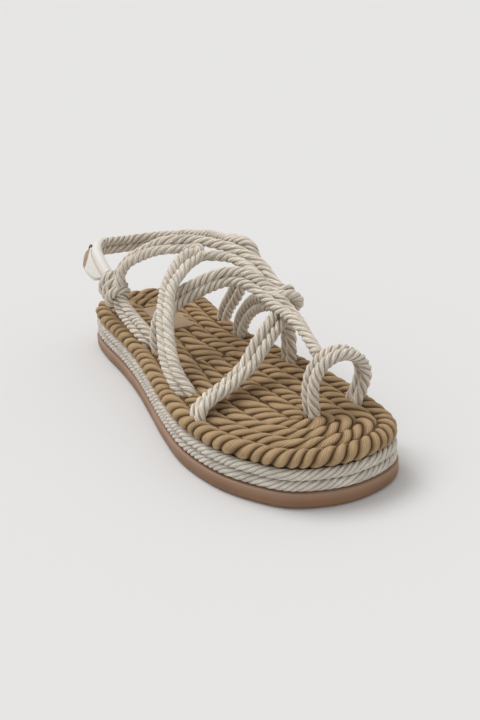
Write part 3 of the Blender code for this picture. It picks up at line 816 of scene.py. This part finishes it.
def new_group(name, inputs, outputs):
    """A shader node group with named sockets, and its two ends."""
    tree = bpy.data.node_groups.new(name, 'ShaderNodeTree')
    for socket, kind in inputs:
        tree.interface.new_socket(socket, in_out='INPUT', socket_type=kind)
    for socket, kind in outputs:
        tree.interface.new_socket(socket, in_out='OUTPUT', socket_type=kind)
    start = tree.nodes.new('NodeGroupInput')
    end = tree.nodes.new('NodeGroupOutput')
    return tree, start, end


def yarn_group():
    """Fine yarns along each strand, read from the rope's own lay coordinates."""
    if "Rope yarns" in bpy.data.node_groups:
        return bpy.data.node_groups["Rope yarns"]
    inputs = (("Lay", 'NodeSocketVector'), ("Yarns", 'NodeSocketFloat'), ("Slant", 'NodeSocketFloat'))
    outputs = (("Height", 'NodeSocketFloat'), ("Tone", 'NodeSocketFloat'))
    tree, start, end = new_group("Rope yarns", inputs, outputs)
    parts = tree.nodes.new('ShaderNodeSeparateXYZ')
    tree.links.new(start.outputs["Lay"], parts.inputs[0])
    fuzz = add_texture(tree, 'ShaderNodeTexNoise', Scale=9.0, Detail=3.0, Roughness=0.6)
    tree.links.new(start.outputs["Lay"], fuzz.inputs['Vector'])
    turned = math_node(tree, 'MULTIPLY', parts.outputs[0], start.outputs["Yarns"])
    slid = math_node(tree, 'MULTIPLY', parts.outputs[1], start.outputs["Slant"])
    shifted = math_node(tree, 'ADD', math_node(tree, 'ADD', turned, slid), fuzz.outputs[0])
    wave = math_node(tree, 'SINE', math_node(tree, 'MULTIPLY', shifted, math.tau))
    ridge = map_range(tree, wave, -1.0, 1.0, 0.0, 1.0)
    fine = add_texture(tree, 'ShaderNodeTexNoise', Scale=60.0, Detail=2.0, Roughness=0.5)
    tree.links.new(start.outputs["Lay"], fine.inputs['Vector'])
    height = math_node(tree, 'ADD', ridge, math_node(tree, 'MULTIPLY', fine.outputs[0], 0.6))
    tree.links.new(height, end.inputs["Height"])
    tone = math_node(tree, 'MULTIPLY', ridge, 0.6)
    tone = math_node(tree, 'ADD', tone, math_node(tree, 'MULTIPLY', fuzz.outputs[0], 0.4))
    tree.links.new(tone, end.inputs["Tone"])
    return tree


def mottle_group():
    """Slow and fine unevenness of a surface, in the object's own place."""
    if "Surface mottle" in bpy.data.node_groups:
        return bpy.data.node_groups["Surface mottle"]
    inputs = (("Place", 'NodeSocketVector'), ("Coarse", 'NodeSocketFloat'), ("Fine", 'NodeSocketFloat'))
    outputs = (("Slow", 'NodeSocketFloat'), ("Grain", 'NodeSocketFloat'))
    tree, start, end = new_group("Surface mottle", inputs, outputs)
    slow = add_texture(tree, 'ShaderNodeTexNoise', Detail=3.0, Roughness=0.55)
    grain = add_texture(tree, 'ShaderNodeTexNoise', Detail=4.0, Roughness=0.65)
    for node, scale in ((slow, "Coarse"), (grain, "Fine")):
        tree.links.new(start.outputs["Place"], node.inputs['Vector'])
        tree.links.new(start.outputs[scale], node.inputs['Scale'])
    tree.links.new(slow.outputs[0], end.inputs["Slow"])
    tree.links.new(grain.outputs[0], end.inputs["Grain"])
    return tree


def place_group(tree, group, **values):
    """A node group in a material, with its plain inputs set."""
    node = tree.nodes.new('ShaderNodeGroup')
    node.node_tree = group
    for name, value in values.items():
        node.inputs[name].default_value = value
    return node


def new_material(name, roughness, **sockets):
    """A material with its Principled shader, whose constant sockets are set."""
    material = bpy.data.materials.new(name)
    material.use_nodes = True
    tree = material.node_tree
    shader = tree.nodes["Principled BSDF"]
    shader.inputs['Roughness'].default_value = roughness
    for socket, value in sockets.items():
        shader.inputs[socket.replace("_", " ")].default_value = value
    return material, tree, shader


def bump(tree, shader, height, strength, distance):
    node = tree.nodes.new('ShaderNodeBump')
    node.inputs['Strength'].default_value = strength
    node.inputs['Distance'].default_value = distance
    tree.links.new(height, node.inputs['Height'])
    tree.links.new(node.outputs[0], shader.inputs['Normal'])


def mottled(tree, coarse, fine):
    """The object's own place, and the surface mottle there."""
    place = tree.nodes.new('ShaderNodeTexCoord')
    mottle = place_group(tree, mottle_group(), Coarse=coarse, Fine=fine)
    tree.links.new(place.outputs['Object'], mottle.inputs["Place"])
    return place, mottle


def dress(tree, shader, tint, gloss):
    """Feed a shader its colour and its roughness."""
    tree.links.new(tint, shader.inputs['Base Color'])
    tree.links.new(gloss, shader.inputs['Roughness'])


def shade_of(tone, share):
    """A darker or brighter colour of the same hue."""
    return tuple(min(1.0, share * part) for part in tone)


def rope_material(name, crest, groove_shade, yarns, slant, streak, relief, sheen, depths=(0.25, 1.0)):
    """Laid rope: lighter crests, painted shade in the grooves that deepens between two depths, fine yarns,
    unevenness.
    """
    material, tree, shader = new_material(
        name, 0.85, Sheen_Weight=sheen, Sheen_Roughness=0.5, Specular_IOR_Level=0.12)
    lay = tree.nodes.new('ShaderNodeUVMap')
    lay.uv_map = "lay"
    yarn = place_group(tree, yarn_group(), Yarns=yarns, Slant=slant)
    tree.links.new(lay.outputs[0], yarn.inputs["Lay"])
    _, mottle = mottled(tree, 160.0, 1500.0)
    depth = tree.nodes.new('ShaderNodeAttribute')
    depth.attribute_name = "groove_shade"
    # Painted shade: the groove colour darkens the rope where its strands meet
    groove_shade_share = map_range(tree, depth.outputs['Fac'], *depths, 0.0, 1.0)
    base = mix_colour(tree, groove_shade_share, crest, groove_shade)
    yarn_shade = map_range(tree, yarn.outputs["Tone"], 0.1, 0.9, 1.0 - streak, 1.0 + 0.4 * streak)
    slow_shade = map_range(tree, mottle.outputs["Slow"], 0.3, 0.7, 0.86, 1.10)
    shade = math_node(tree, 'MULTIPLY', yarn_shade, slow_shade)
    grey = tree.nodes.new('ShaderNodeCombineColor')
    for socket in grey.inputs[:3]:
        tree.links.new(shade, socket)
    tint = mix_colour(tree, 1.0, base, grey.outputs[0], 'MULTIPLY')
    dress(tree, shader, tint, map_range(tree, mottle.outputs["Grain"], 0.3, 0.7, 0.72, 0.95))
    fuzz = math_node(tree, 'MULTIPLY', mottle.outputs["Grain"], 0.5)
    bump(tree, shader, math_node(tree, 'ADD', yarn.outputs["Height"], fuzz), 0.8, relief)
    return material


def leather_material(name, tone, darkest, roughness, grain_scale, relief):
    """Leather with pores, soft unevenness and a little gloss."""
    material, tree, shader = new_material(name, roughness, Specular_IOR_Level=0.4)
    place, mottle = mottled(tree, 120.0, 1400.0)
    pores = add_texture(tree, 'ShaderNodeTexVoronoi', Scale=grain_scale)
    tree.links.new(place.outputs['Object'], pores.inputs['Vector'])
    factor = map_range(tree, mottle.outputs["Slow"], 0.35, 0.75, 0.0, 0.8)
    tint = mix_colour(tree, factor, tone, shade_of(tone, darkest))
    gloss = map_range(tree, mottle.outputs["Grain"], 0.3, 0.7, roughness - 0.1, roughness + 0.12)
    dress(tree, shader, tint, gloss)
    grain = math_node(tree, 'MULTIPLY', mottle.outputs["Grain"], 0.5)
    bump(tree, shader, math_node(tree, 'ADD', pores.outputs['Distance'], grain), 0.6, relief)
    return material


def rubber_material(name, tone, top=1.0):
    """Matt moulded rubber with a fine pebble and scuffed patches, paler near its rim at the height top."""
    material, tree, shader = new_material(name, 0.6, Specular_IOR_Level=0.4)
    place, mottle = mottled(tree, 45.0, 1600.0)
    factor = map_range(tree, mottle.outputs["Slow"], 0.35, 0.7, 0.0, 0.7)
    body = mix_colour(tree, factor, tone, shade_of(tone, 0.72))
    height = tree.nodes.new('ShaderNodeSeparateXYZ')
    tree.links.new(place.outputs['Object'], height.inputs[0])
    rim = map_range(tree, height.outputs['Z'], 0.5 * top, 0.95 * top, 0.0, 0.6)
    pale = tuple(0.1 + part for part in tone)
    gloss = map_range(tree, mottle.outputs["Slow"], 0.3, 0.7, 0.5, 0.72)
    dress(tree, shader, mix_colour(tree, rim, body, pale), gloss)
    bump(tree, shader, mottle.outputs["Grain"], 0.35, 0.00015)
    return material


def metal_material(name, tone):
    """Dark metal with fine scratches."""
    material, tree, shader = new_material(name, 0.4, Metallic=1.0)
    _, mottle = mottled(tree, 600.0, 4000.0)
    factor = map_range(tree, mottle.outputs["Slow"], 0.35, 0.7, 0.0, 1.0)
    tint = mix_colour(tree, factor, tone, shade_of(tone, 2.2))
    dress(tree, shader, tint, map_range(tree, mottle.outputs["Grain"], 0.3, 0.7, 0.3, 0.55))
    return material


def floor_material(name, tone):
    """Plain pale floor with a trace of unevenness."""
    material, tree, shader = new_material(name, 0.9, Specular_IOR_Level=0.1)
    _, mottle = mottled(tree, 3.0, 400.0)
    tint = mix_colour(tree, mottle.outputs["Slow"], tone, shade_of(tone, 0.985))
    tree.links.new(tint, shader.inputs['Base Color'])
    return material


class SANDAL_OT_outsole(bpy.types.Operator):
    """Rubber outsole, extruded from its outline and rounded at its lower edge"""
    bl_idname = "sandal.outsole"
    bl_label = "Outsole"
    bl_options = {'UNDO'}

    def execute(self, context):
        size = sizes()
        piece = outline_plate("outsole_rubber", 0.0, OUTSOLE_POINTS, 0.0, size.outsole_height)
        round_rim(piece, 0.0, size.outsole_round, 4)
        round_rim(piece, size.outsole_height, 0.0006, 3)
        leave_smooth(piece)
        material = rubber_material("tan rubber", colours().outsole, size.outsole_height)
        hand_over(piece, "outsole", material)
        return {'FINISHED'}


class SANDAL_OT_side_ropes(bpy.types.Operator):
    """Two white ropes laid round the edge, one over the other"""
    bl_idname = "sandal.side_ropes"
    bl_label = "Side ropes"
    bl_options = {'UNDO'}

    def execute(self, context):
        size = sizes()
        radius = size.side_rope_radius / MM
        floor_z = size.outsole_height / MM
        # The rope's groove colour is painted shade between its strands
        material = rope_material(
            "white laid rope", colours().side_rope, colours().side_rope_groove_shade,
            yarns=4.0, slant=1.0, streak=0.2, relief=0.0003, sheen=0.1)
        rows = (("side_rope_lower", 0.05), ("side_rope_upper", 2.1))
        for row, (node, phase) in enumerate(rows):
            z = floor_z + radius + row * 2.0 * radius
            path = outline_ring(size.side_rope_inset / MM, SIDE_ROPE_POINTS, z)
            rope = level_rope(
                node + "_laid", path, radius, radius, size.side_rope_pitch / MM,
                phase=phase, strands=5, shares=THIN_STRAND, circle=0.43)
            hand_over(rope, node, material)
        return {'FINISHED'}


class SANDAL_OT_footbed(bpy.types.Operator):
    """Tan rope coiled into a footbed, on a core painted the dark shade of its grooves"""
    bl_idname = "sandal.footbed"
    bl_label = "Footbed"
    bl_options = {'UNDO'}

    def execute(self, context):
        size = sizes()
        width = size.bed_rope_width / MM
        half_height = size.bed_rope_height / MM / 2.0
        z = size.bed_top / MM - half_height
        pitch = size.bed_rope_pitch / MM
        path = outline_ring(BED_INSET + width / 2.0, BED_RING_POINTS[0], z)
        lay = np.interp(path[:, 1], *EDGE_ROW_LAY) * size.edge_rope_pitch / MM
        ropes = [self.coil(path, width / 2.0, half_height, lay, True, 0.0, 0.6, 1.9)]
        half_height = INNER_ROW_SHARE * half_height
        z = size.bed_top / MM - half_height
        for ring in (1, 2):
            path = outline_ring(BED_INSET + width * (ring + 0.5), BED_RING_POINTS[ring], z)
            half_width = RING_PRESS * width / 2.0
            ropes.append(self.coil(path, half_width, half_height, pitch, True, 3.0 - 1.3 * ring))
        ropes.append(self.inner_ring(z, width, half_height, pitch))
        ropes.append(self.middle_row(z, width, half_height, pitch))
        coil = join_pieces(ropes, "footbed_coil")
        # The rope's groove colour is painted shade between its strands
        material = rope_material(
            "tan laid rope", colours().footbed, colours().footbed_groove_shade,
            yarns=8.0, slant=2.0, streak=0.16, relief=0.0004, sheen=0.0, depths=(0.15, 0.95))
        hand_over(coil, "footbed", material)
        self.core(size.outsole_height, (z + CORE_RISE) * MM)
        return {'FINISHED'}

    def coil(self, path, half_width, half_height, pitch, closed, phase, lean=0.0, lean_at=0.0):
        """One row of the footbed; its lay is longer towards the heel."""
        pitch = pitch * np.interp(path[:, 1], *ROW_LAY)
        return level_rope(
            "coil", path, half_height, half_width, pitch,
            closed=closed, phase=phase, circle=0.6, lean=lean, lean_at=lean_at)

    def room(self, width):
        """Outline points, their spine points and the space that is left inside the three rings."""
        edge, spine = sole_spokes()
        return edge, spine, np.linalg.norm(edge - spine, axis=1) - BED_INSET - 3.0 * width

    def inner_ring(self, z, width, half_height, pitch):
        """Ring in the ball of the foot, where there is room for one row more each side."""
        edge, spine, room = self.room(width)
        beside = room - width / 2.0
        half = np.clip(beside, 0.0, 1.4 * width) / 2.0
        from_spine = width / 2.0 + np.maximum(beside, 0.0) / 2.0
        places = spine + unit(edge - spine) * from_spine[:, None]
        front = (beside > RING_ROOM) & (edge[:, 1] > 0.0)
        first = int(np.argmax(front))
        last = len(front) - int(np.argmax(front[::-1]))
        line = places[first:last]
        at = arc_lengths(line)
        even = np.linspace(0.0, at[-1], int(at[-1] / 0.95))
        path = smooth(np.column_stack([np.interp(even, at, column) for column in line.T]), 12)
        half_width = np.interp(even, at, half[first:last]) * INNER_RING_PRESS
        path = np.column_stack([path, np.full(len(even), z - INNER_RING_SINK)])
        half_height = half_height * np.clip(0.55 + 0.45 * half_width / (width / 2.0), 0.0, 1.0)
        lay = np.interp(path[:, 1], *INNER_RING_LAY) * pitch
        return self.coil(path, half_width, half_height, lay, False, 2.4)

    def middle_row(self, z, width, half_height, pitch):
        """Straight row along the middle, which fills what the rings leave."""
        spine_y, spine_x = np.array(SPINE).T
        y = np.linspace(spine_y[0] - MIDDLE_ROW_PAST_HEEL, spine_y[-1] + MIDDLE_ROW_PAST_TOE, 210)
        x = smooth(np.interp(y, spine_y, spine_x)[:, None], 30)[:, 0]
        edge, _, room = self.room(width)
        outer = slice(0, SIDE_STATIONS)
        inner = slice(SIDE_STATIONS + TOE_SPOKES, 2 * SIDE_STATIONS + TOE_SPOKES)
        reach = []
        for points, spaces in ((edge[outer], room[outer]), (edge[inner][::-1], room[inner][::-1])):
            space = np.interp(y, points[:, 1], spaces)
            ringed = (space - width / 2.0 > RING_ROOM) & (y > 0.0)
            reach.append(smooth(np.where(ringed, width / 2.0, space)[:, None], 6)[:, 0])
        x = x + (reach[0] - reach[1]) / 2.0
        half = (reach[0] + reach[1]) / 2.0 * MIDDLE_ROW_PRESS
        from_end = np.minimum(y - y[0], y[-1] - y)
        taper = np.sqrt(np.clip(1.0 - (1.0 - from_end / MIDDLE_ROW_TAPER) ** 2, 0.1, 1.0))
        taper = np.where(from_end > MIDDLE_ROW_TAPER, 1.0, taper)
        path = np.column_stack([x, y, np.full(len(y), z - MIDDLE_ROW_SINK)])
        return self.coil(path, half * taper, half_height, pitch, False, 1.3)

    def core(self, bottom, top):
        """Filling under the coil, seen only down its grooves, coloured with the footbed's painted groove
        shade.
        """
        piece = outline_plate("footbed_core", CORE_INSET, CORE_POINTS, bottom, top - bottom)
        bpy.ops.object.mode_set(mode='OBJECT')
        # Painted shade: the core takes the dark groove shade colour, so the gaps between rows read as
        # shadow
        material = rubber_material("groove shade filling", colours().footbed_groove_shade)
        hand_over(piece, None, material)


class SANDAL_OT_heel_patch(bpy.types.Operator):
    """Bare leather patch on the heel of the footbed"""
    bl_idname = "sandal.heel_patch"
    bl_label = "Heel patch"
    bl_options = {'UNDO'}

    def execute(self, context):
        size = sizes()
        low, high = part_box("heel_patch")
        middle = (low + high) / 2.0
        top = high.z + PATCH_RISE
        deselect()
        bpy.ops.mesh.primitive_plane_add(size=1.0, location=(middle.x, middle.y, low.z))
        piece = context.active_object
        piece.name = "heel_patch_leather"
        piece.scale = (size.patch_width, size.patch_length, 1.0)
        bpy.ops.object.transform_apply(location=True, rotation=True, scale=True)
        bpy.ops.object.mode_set(mode='EDIT')
        bpy.ops.mesh.select_all(action='SELECT')
        bpy.ops.mesh.bevel(offset=0.0025, segments=6, affect='VERTICES')
        raise_flat(top - low.z)
        round_rim(piece, top, 0.0004, 3)
        leave_smooth(piece)
        material = leather_material(
            "bare tan leather", colours().patch,
            darkest=0.78, roughness=0.62, grain_scale=900.0, relief=0.00018)
        hand_over(piece, "heel_patch", material)
        return {'FINISHED'}


class SANDAL_OT_rope_straps(bpy.types.Operator):
    """All the strap ropes: toe loop, band, diagonal, instep, ankle, bridge, heel and knot"""
    bl_idname = "sandal.rope_straps"
    bl_label = "Rope straps"
    bl_options = {'UNDO'}

    def execute(self, context):
        ropes = []
        pairs = (
            ("toe_loop", TOE_LOOP, (2.2, 1.2, 0.8, 0.8, 0.8, 1.2, 1.8)),
            ("band", FOREFOOT_BAND, (1.25, 1.25)),
            ("diagonal", DIAGONAL, (1.3, 1.3, 1.15, 1.0, 1.0, 1.0)),
            ("heel", HEEL_STRAP, (1.0, 1.0, 1.1, 1.3, 1.0)),
        )
        for number, (name, route, lay) in enumerate(pairs):
            for sign in (1.0, -1.0):
                ropes.append(round_rope(name, pair_side(route, sign), lay, 0.9 * number + 0.1 * sign))
        rise = (0.85, 0.9, 1.0, 1.0)
        ropes.append(round_rope("ankle_to_instep", self.instep_and_ankle(), rise, 0.3, circle=0.56))
        over = (0.85, 1.0, 1.3, 1.6, 0.9, 0.9)
        ropes.append(round_rope("instep_to_bridge", self.instep_and_bridge(), over, 0.4, circle=0.56))
        along_top = (1.1, 1.2, 1.7, 1.6, 0.9, 0.9)
        ropes.append(round_rope("ankle_to_bridge", pair_side(ANKLE_AND_BRIDGE, -1.0), along_top, 0.6))
        ropes.append(round_rope("knot", self.knot_line(), phase=0.2))
        straps = join_pieces(ropes, "rope_straps_laid")
        # The rope's groove colour is painted shade between its strands
        material = rope_material(
            "ecru laid rope", colours().strap, colours().strap_groove_shade,
            yarns=3.0, slant=1.0, streak=0.24, relief=0.0004, sheen=0.15)
        hand_over(straps, "rope_straps", material)
        return {'FINISHED'}

    def instep_and_ankle(self):
        """Up the instep, round a bight and back along the ankle to the knot."""
        rise = pair_side(INSTEP, -1.0)
        turn = np.array(INSTEP_BIGHT)
        rise = rise[:nearest(rise, turn[0]) - 2]
        back = pair_side(ANKLE_AND_BRIDGE, 1.0)
        back = back[:nearest(back, turn[-1]) - 2][::-1]
        return np.vstack([rise, turn, back])

    def instep_and_bridge(self):
        """Up the instep, along the bridge and down its inner legs."""
        rise = pair_side(INSTEP, 1.0)
        bridge = pair_side(ANKLE_AND_BRIDGE, 1.0)
        meet = nearest(rise, LEAVES_INSTEP_AT)
        start = nearest(bridge, JOINS_BRIDGE_AT)
        return np.vstack([rise[:meet], bridge[start:]])

    def knot_line(self):
        """Turns of rope round the heel pair, tucked in at both ends."""
        path, normal, side = lay_pair(HEEL_STRAP, KNOT_STEP)
        steps = KNOT_TURNS * KNOT_STEPS_PER_TURN
        first = nearest(path, KNOT_AT) - steps // 2
        wound = slice(first, first + steps + 1)
        wind = np.linspace(0.0, math.tau * KNOT_TURNS, steps + 1)[:, None]
        tuck = np.clip(np.minimum(wind, wind[::-1]) / 1.2, 0.0, 1.0)
        angle = wind - math.pi / 2.0
        radius = sizes().strap_radius / MM
        reach = radius * (0.25 + 1.3 * tuck)
        spread = sizes().pair_half_spacing / MM + reach
        line = path[wound] + side[wound] * spread * np.cos(angle) + normal[wound] * reach * np.sin(angle)
        return line[::4]


class SANDAL_OT_heel_tab(bpy.types.Operator):
    """Leather sleeve folded round the heel pair, with its raw-edged flange"""
    bl_idname = "sandal.heel_tab"
    bl_label = "Heel tab"
    bl_options = {'UNDO'}

    def execute(self, context):
        path, normal, side = tab_frames()
        sleeve = self.sleeve(path, normal, side)
        white = leather_material(
            "off-white leather", colours().tab,
            darkest=0.88, roughness=0.5, grain_scale=1100.0, relief=0.00012)
        hand_over(sleeve, "heel_tab", white)
        flange, rim = self.flange(path, normal)
        hand_over(flange, None, white)
        raw = leather_material(
            "raw leather edge", colours().tab_edge,
            darkest=0.7, roughness=0.8, grain_scale=1800.0, relief=0.0002)
        hand_over(rim, None, raw)
        return {'FINISHED'}

    def sleeve(self, path, normal, side):
        """Wall that wraps the pair, open in a slit on the inner side."""
        inside = sizes().strap_radius / MM + 0.35
        half = sizes().pair_half_spacing / MM
        section = []
        for angle in np.radians(np.linspace(SLEEVE_FROM, SLEEVE_TO, SLEEVE_POINTS)):
            section.append((half + inside * math.cos(angle), inside * math.sin(angle)))
        section += [(-u, v) for u, v in reversed(section)]
        rows = np.array([
            [place + beside * u + out * v for u, v in section]
            for place, out, beside in zip(path, normal, side)
        ])
        return self.sheet("heel_tab_sleeve", rows, sizes().tab_wall, 1.0)

    def flange(self, path, normal):
        """Flange that stands out of the sleeve's outer face, and its raw rim."""
        base = sizes().strap_radius / MM + 0.6
        wall = sizes().strap_radius / MM + 0.2 + sizes().tab_wall / MM
        shares, heights = np.array(FLANGE_REACH).T
        share = np.linspace(0.0, 1.0, len(path))
        top = wall + smooth(np.interp(share, shares, heights)[:, None], 4)[:, 0]
        rows = self.fin(path, normal, np.full(len(path), base), top)
        flange = self.sheet("heel_tab_flange", rows, FLANGE_WALL, 0.0)
        raw = (share > RIM_FROM) & (share < RIM_TO)
        depth = 0.3 + 1.9 * np.sin(math.pi * (share[raw] - RIM_FROM) / (RIM_TO - RIM_FROM))
        rows = self.fin(path[raw], normal[raw], top[raw] - depth, top[raw] + 0.1)
        rim = self.sheet("heel_tab_rim", rows, RIM_WALL, 0.0)
        return flange, rim

    def fin(self, path, normal, low, high):
        """Rows of points that stand out from the path between two heights."""
        return np.array([
            [place + out * (start + (end - start) * step / 8) for step in range(9)]
            for place, out, start, end in zip(path, normal, low, high)
        ])

    def sheet(self, name, rows, wall, offset):
        """A grid of points given a thickness and rounded edges."""
        mesh = bpy.data.meshes.new(name)
        mesh.from_pydata((rows.reshape(-1, 3) * MM).tolist(), [], grid_faces(*rows.shape[:2]))
        piece = bpy.data.objects.new(name, mesh)
        bpy.context.scene.collection.objects.link(piece)
        thick = piece.modifiers.new("wall", 'SOLIDIFY')
        thick.thickness = wall
        thick.offset = offset
        soften(piece, 0.0003, 2)
        return piece


class SANDAL_OT_tab_rivet(bpy.types.Operator):
    """Rounded rivet cap on the tab's outer face"""
    bl_idname = "sandal.tab_rivet"
    bl_label = "Tab rivet"
    bl_options = {'UNDO'}

    def execute(self, context):
        low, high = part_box("tab_rivet")
        middle = (low + high) / 2.0
        path, normal, _ = tab_frames()
        at = nearest(path, np.array(middle) / MM)
        axis = Vector(normal[at])
        turn = axis.to_track_quat('Z', 'Y').to_euler()
        deselect()
        bpy.ops.mesh.primitive_cylinder_add(
            vertices=32, radius=sizes().rivet_radius, depth=0.0017, location=middle, rotation=turn)
        piece = context.active_object
        piece.name = "tab_rivet_cap"
        bpy.ops.object.transform_apply(location=True, rotation=True, scale=True)
        soften(piece, 0.0005, 4)
        hand_over(piece, "tab_rivet", metal_material("dark metal", colours().rivet))
        return {'FINISHED'}


class SANDAL_OT_stage(bpy.types.Operator):
    """Pale floor, soft light and the camera"""
    bl_idname = "sandal.stage"
    bl_label = "Stage"
    bl_options = {'UNDO'}

    def execute(self, context):
        stage = context.scene.sandal_stage
        deselect()
        bpy.ops.mesh.primitive_plane_add(size=stage.floor_size, location=(0.0, 0.0, 0.0))
        floor = context.active_object
        floor.name = "floor"
        floor.data.materials.append(floor_material("pale floor", colours().floor))
        self.sky(context, stage.sky)
        self.broad_light("key light", KEY_FROM, stage.key, stage.key_spread)
        self.camera(context, stage.lens)
        context.scene.view_settings.view_transform = 'Standard'
        return {'FINISHED'}

    def sky(self, context, strength):
        world = bpy.data.worlds.new("studio sky")
        world.use_nodes = True
        background = world.node_tree.nodes["Background"]
        background.inputs['Color'].default_value = (1.0, 0.995, 0.985, 1.0)
        background.inputs['Strength'].default_value = strength
        context.scene.world = world

    def broad_light(self, name, place, strength, spread):
        bpy.ops.object.light_add(type='SUN', location=place)
        light = bpy.context.active_object
        light.name = name
        light.data.energy = strength
        light.data.angle = spread
        light.rotation_euler = Vector(place).to_track_quat('Z', 'Y').to_euler()

    def camera(self, context, lens):
        bpy.ops.object.camera_add()
        camera = context.active_object
        camera.name = "photo camera"
        camera.data.lens = lens
        camera.data.sensor_width = 36.0
        camera.data.sensor_fit = 'AUTO'
        axes = Matrix((CAMERA_RIGHT, CAMERA_UP, CAMERA_BACK)).transposed().to_4x4()
        camera.matrix_world = Matrix.Translation(Vector(CAMERA_PLACE) * MM) @ axes
        context.scene.camera = camera


class SANDAL_PT_panel(bpy.types.Panel):
    """Settings and building steps of the rope sandal"""
    bl_idname = "SANDAL_PT_panel"
    bl_label = "Rope Sandal"
    bl_space_type = 'VIEW_3D'
    bl_region_type = 'UI'
    bl_category = "Sandal"

    def draw(self, context):
        layout = self.layout
        for step in STEPS:
            layout.operator(step.bl_idname)
        scene = context.scene
        for settings in (scene.sandal_sizes, scene.sandal_colours, scene.sandal_stage):
            box = layout.box()
            for name in settings.__annotations__:
                box.prop(settings, name)


SETTINGS = (SandalSizes, SandalColours, SandalStage)
STEPS = (
    SANDAL_OT_outsole,
    SANDAL_OT_side_ropes,
    SANDAL_OT_footbed,
    SANDAL_OT_heel_patch,
    SANDAL_OT_rope_straps,
    SANDAL_OT_heel_tab,
    SANDAL_OT_tab_rivet,
    SANDAL_OT_stage,
)
CLASSES = SETTINGS + STEPS + (SANDAL_PT_panel,)


def register():
    for each in CLASSES:
        bpy.utils.register_class(each)
    bpy.types.Scene.sandal_sizes = bpy.props.PointerProperty(type=SandalSizes)
    bpy.types.Scene.sandal_colours = bpy.props.PointerProperty(type=SandalColours)
    bpy.types.Scene.sandal_stage = bpy.props.PointerProperty(type=SandalStage)


def unregister():
    del bpy.types.Scene.sandal_stage
    del bpy.types.Scene.sandal_colours
    del bpy.types.Scene.sandal_sizes
    for each in reversed(CLASSES):
        bpy.utils.unregister_class(each)


def main():
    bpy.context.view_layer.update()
    register()
    bpy.ops.sandal.outsole()
    bpy.ops.sandal.side_ropes()
    bpy.ops.sandal.footbed()
    bpy.ops.sandal.heel_patch()
    bpy.ops.sandal.rope_straps()
    bpy.ops.sandal.heel_tab()
    bpy.ops.sandal.tab_rivet()
    bpy.ops.sandal.stage()


if __name__ == "__main__":
    main()
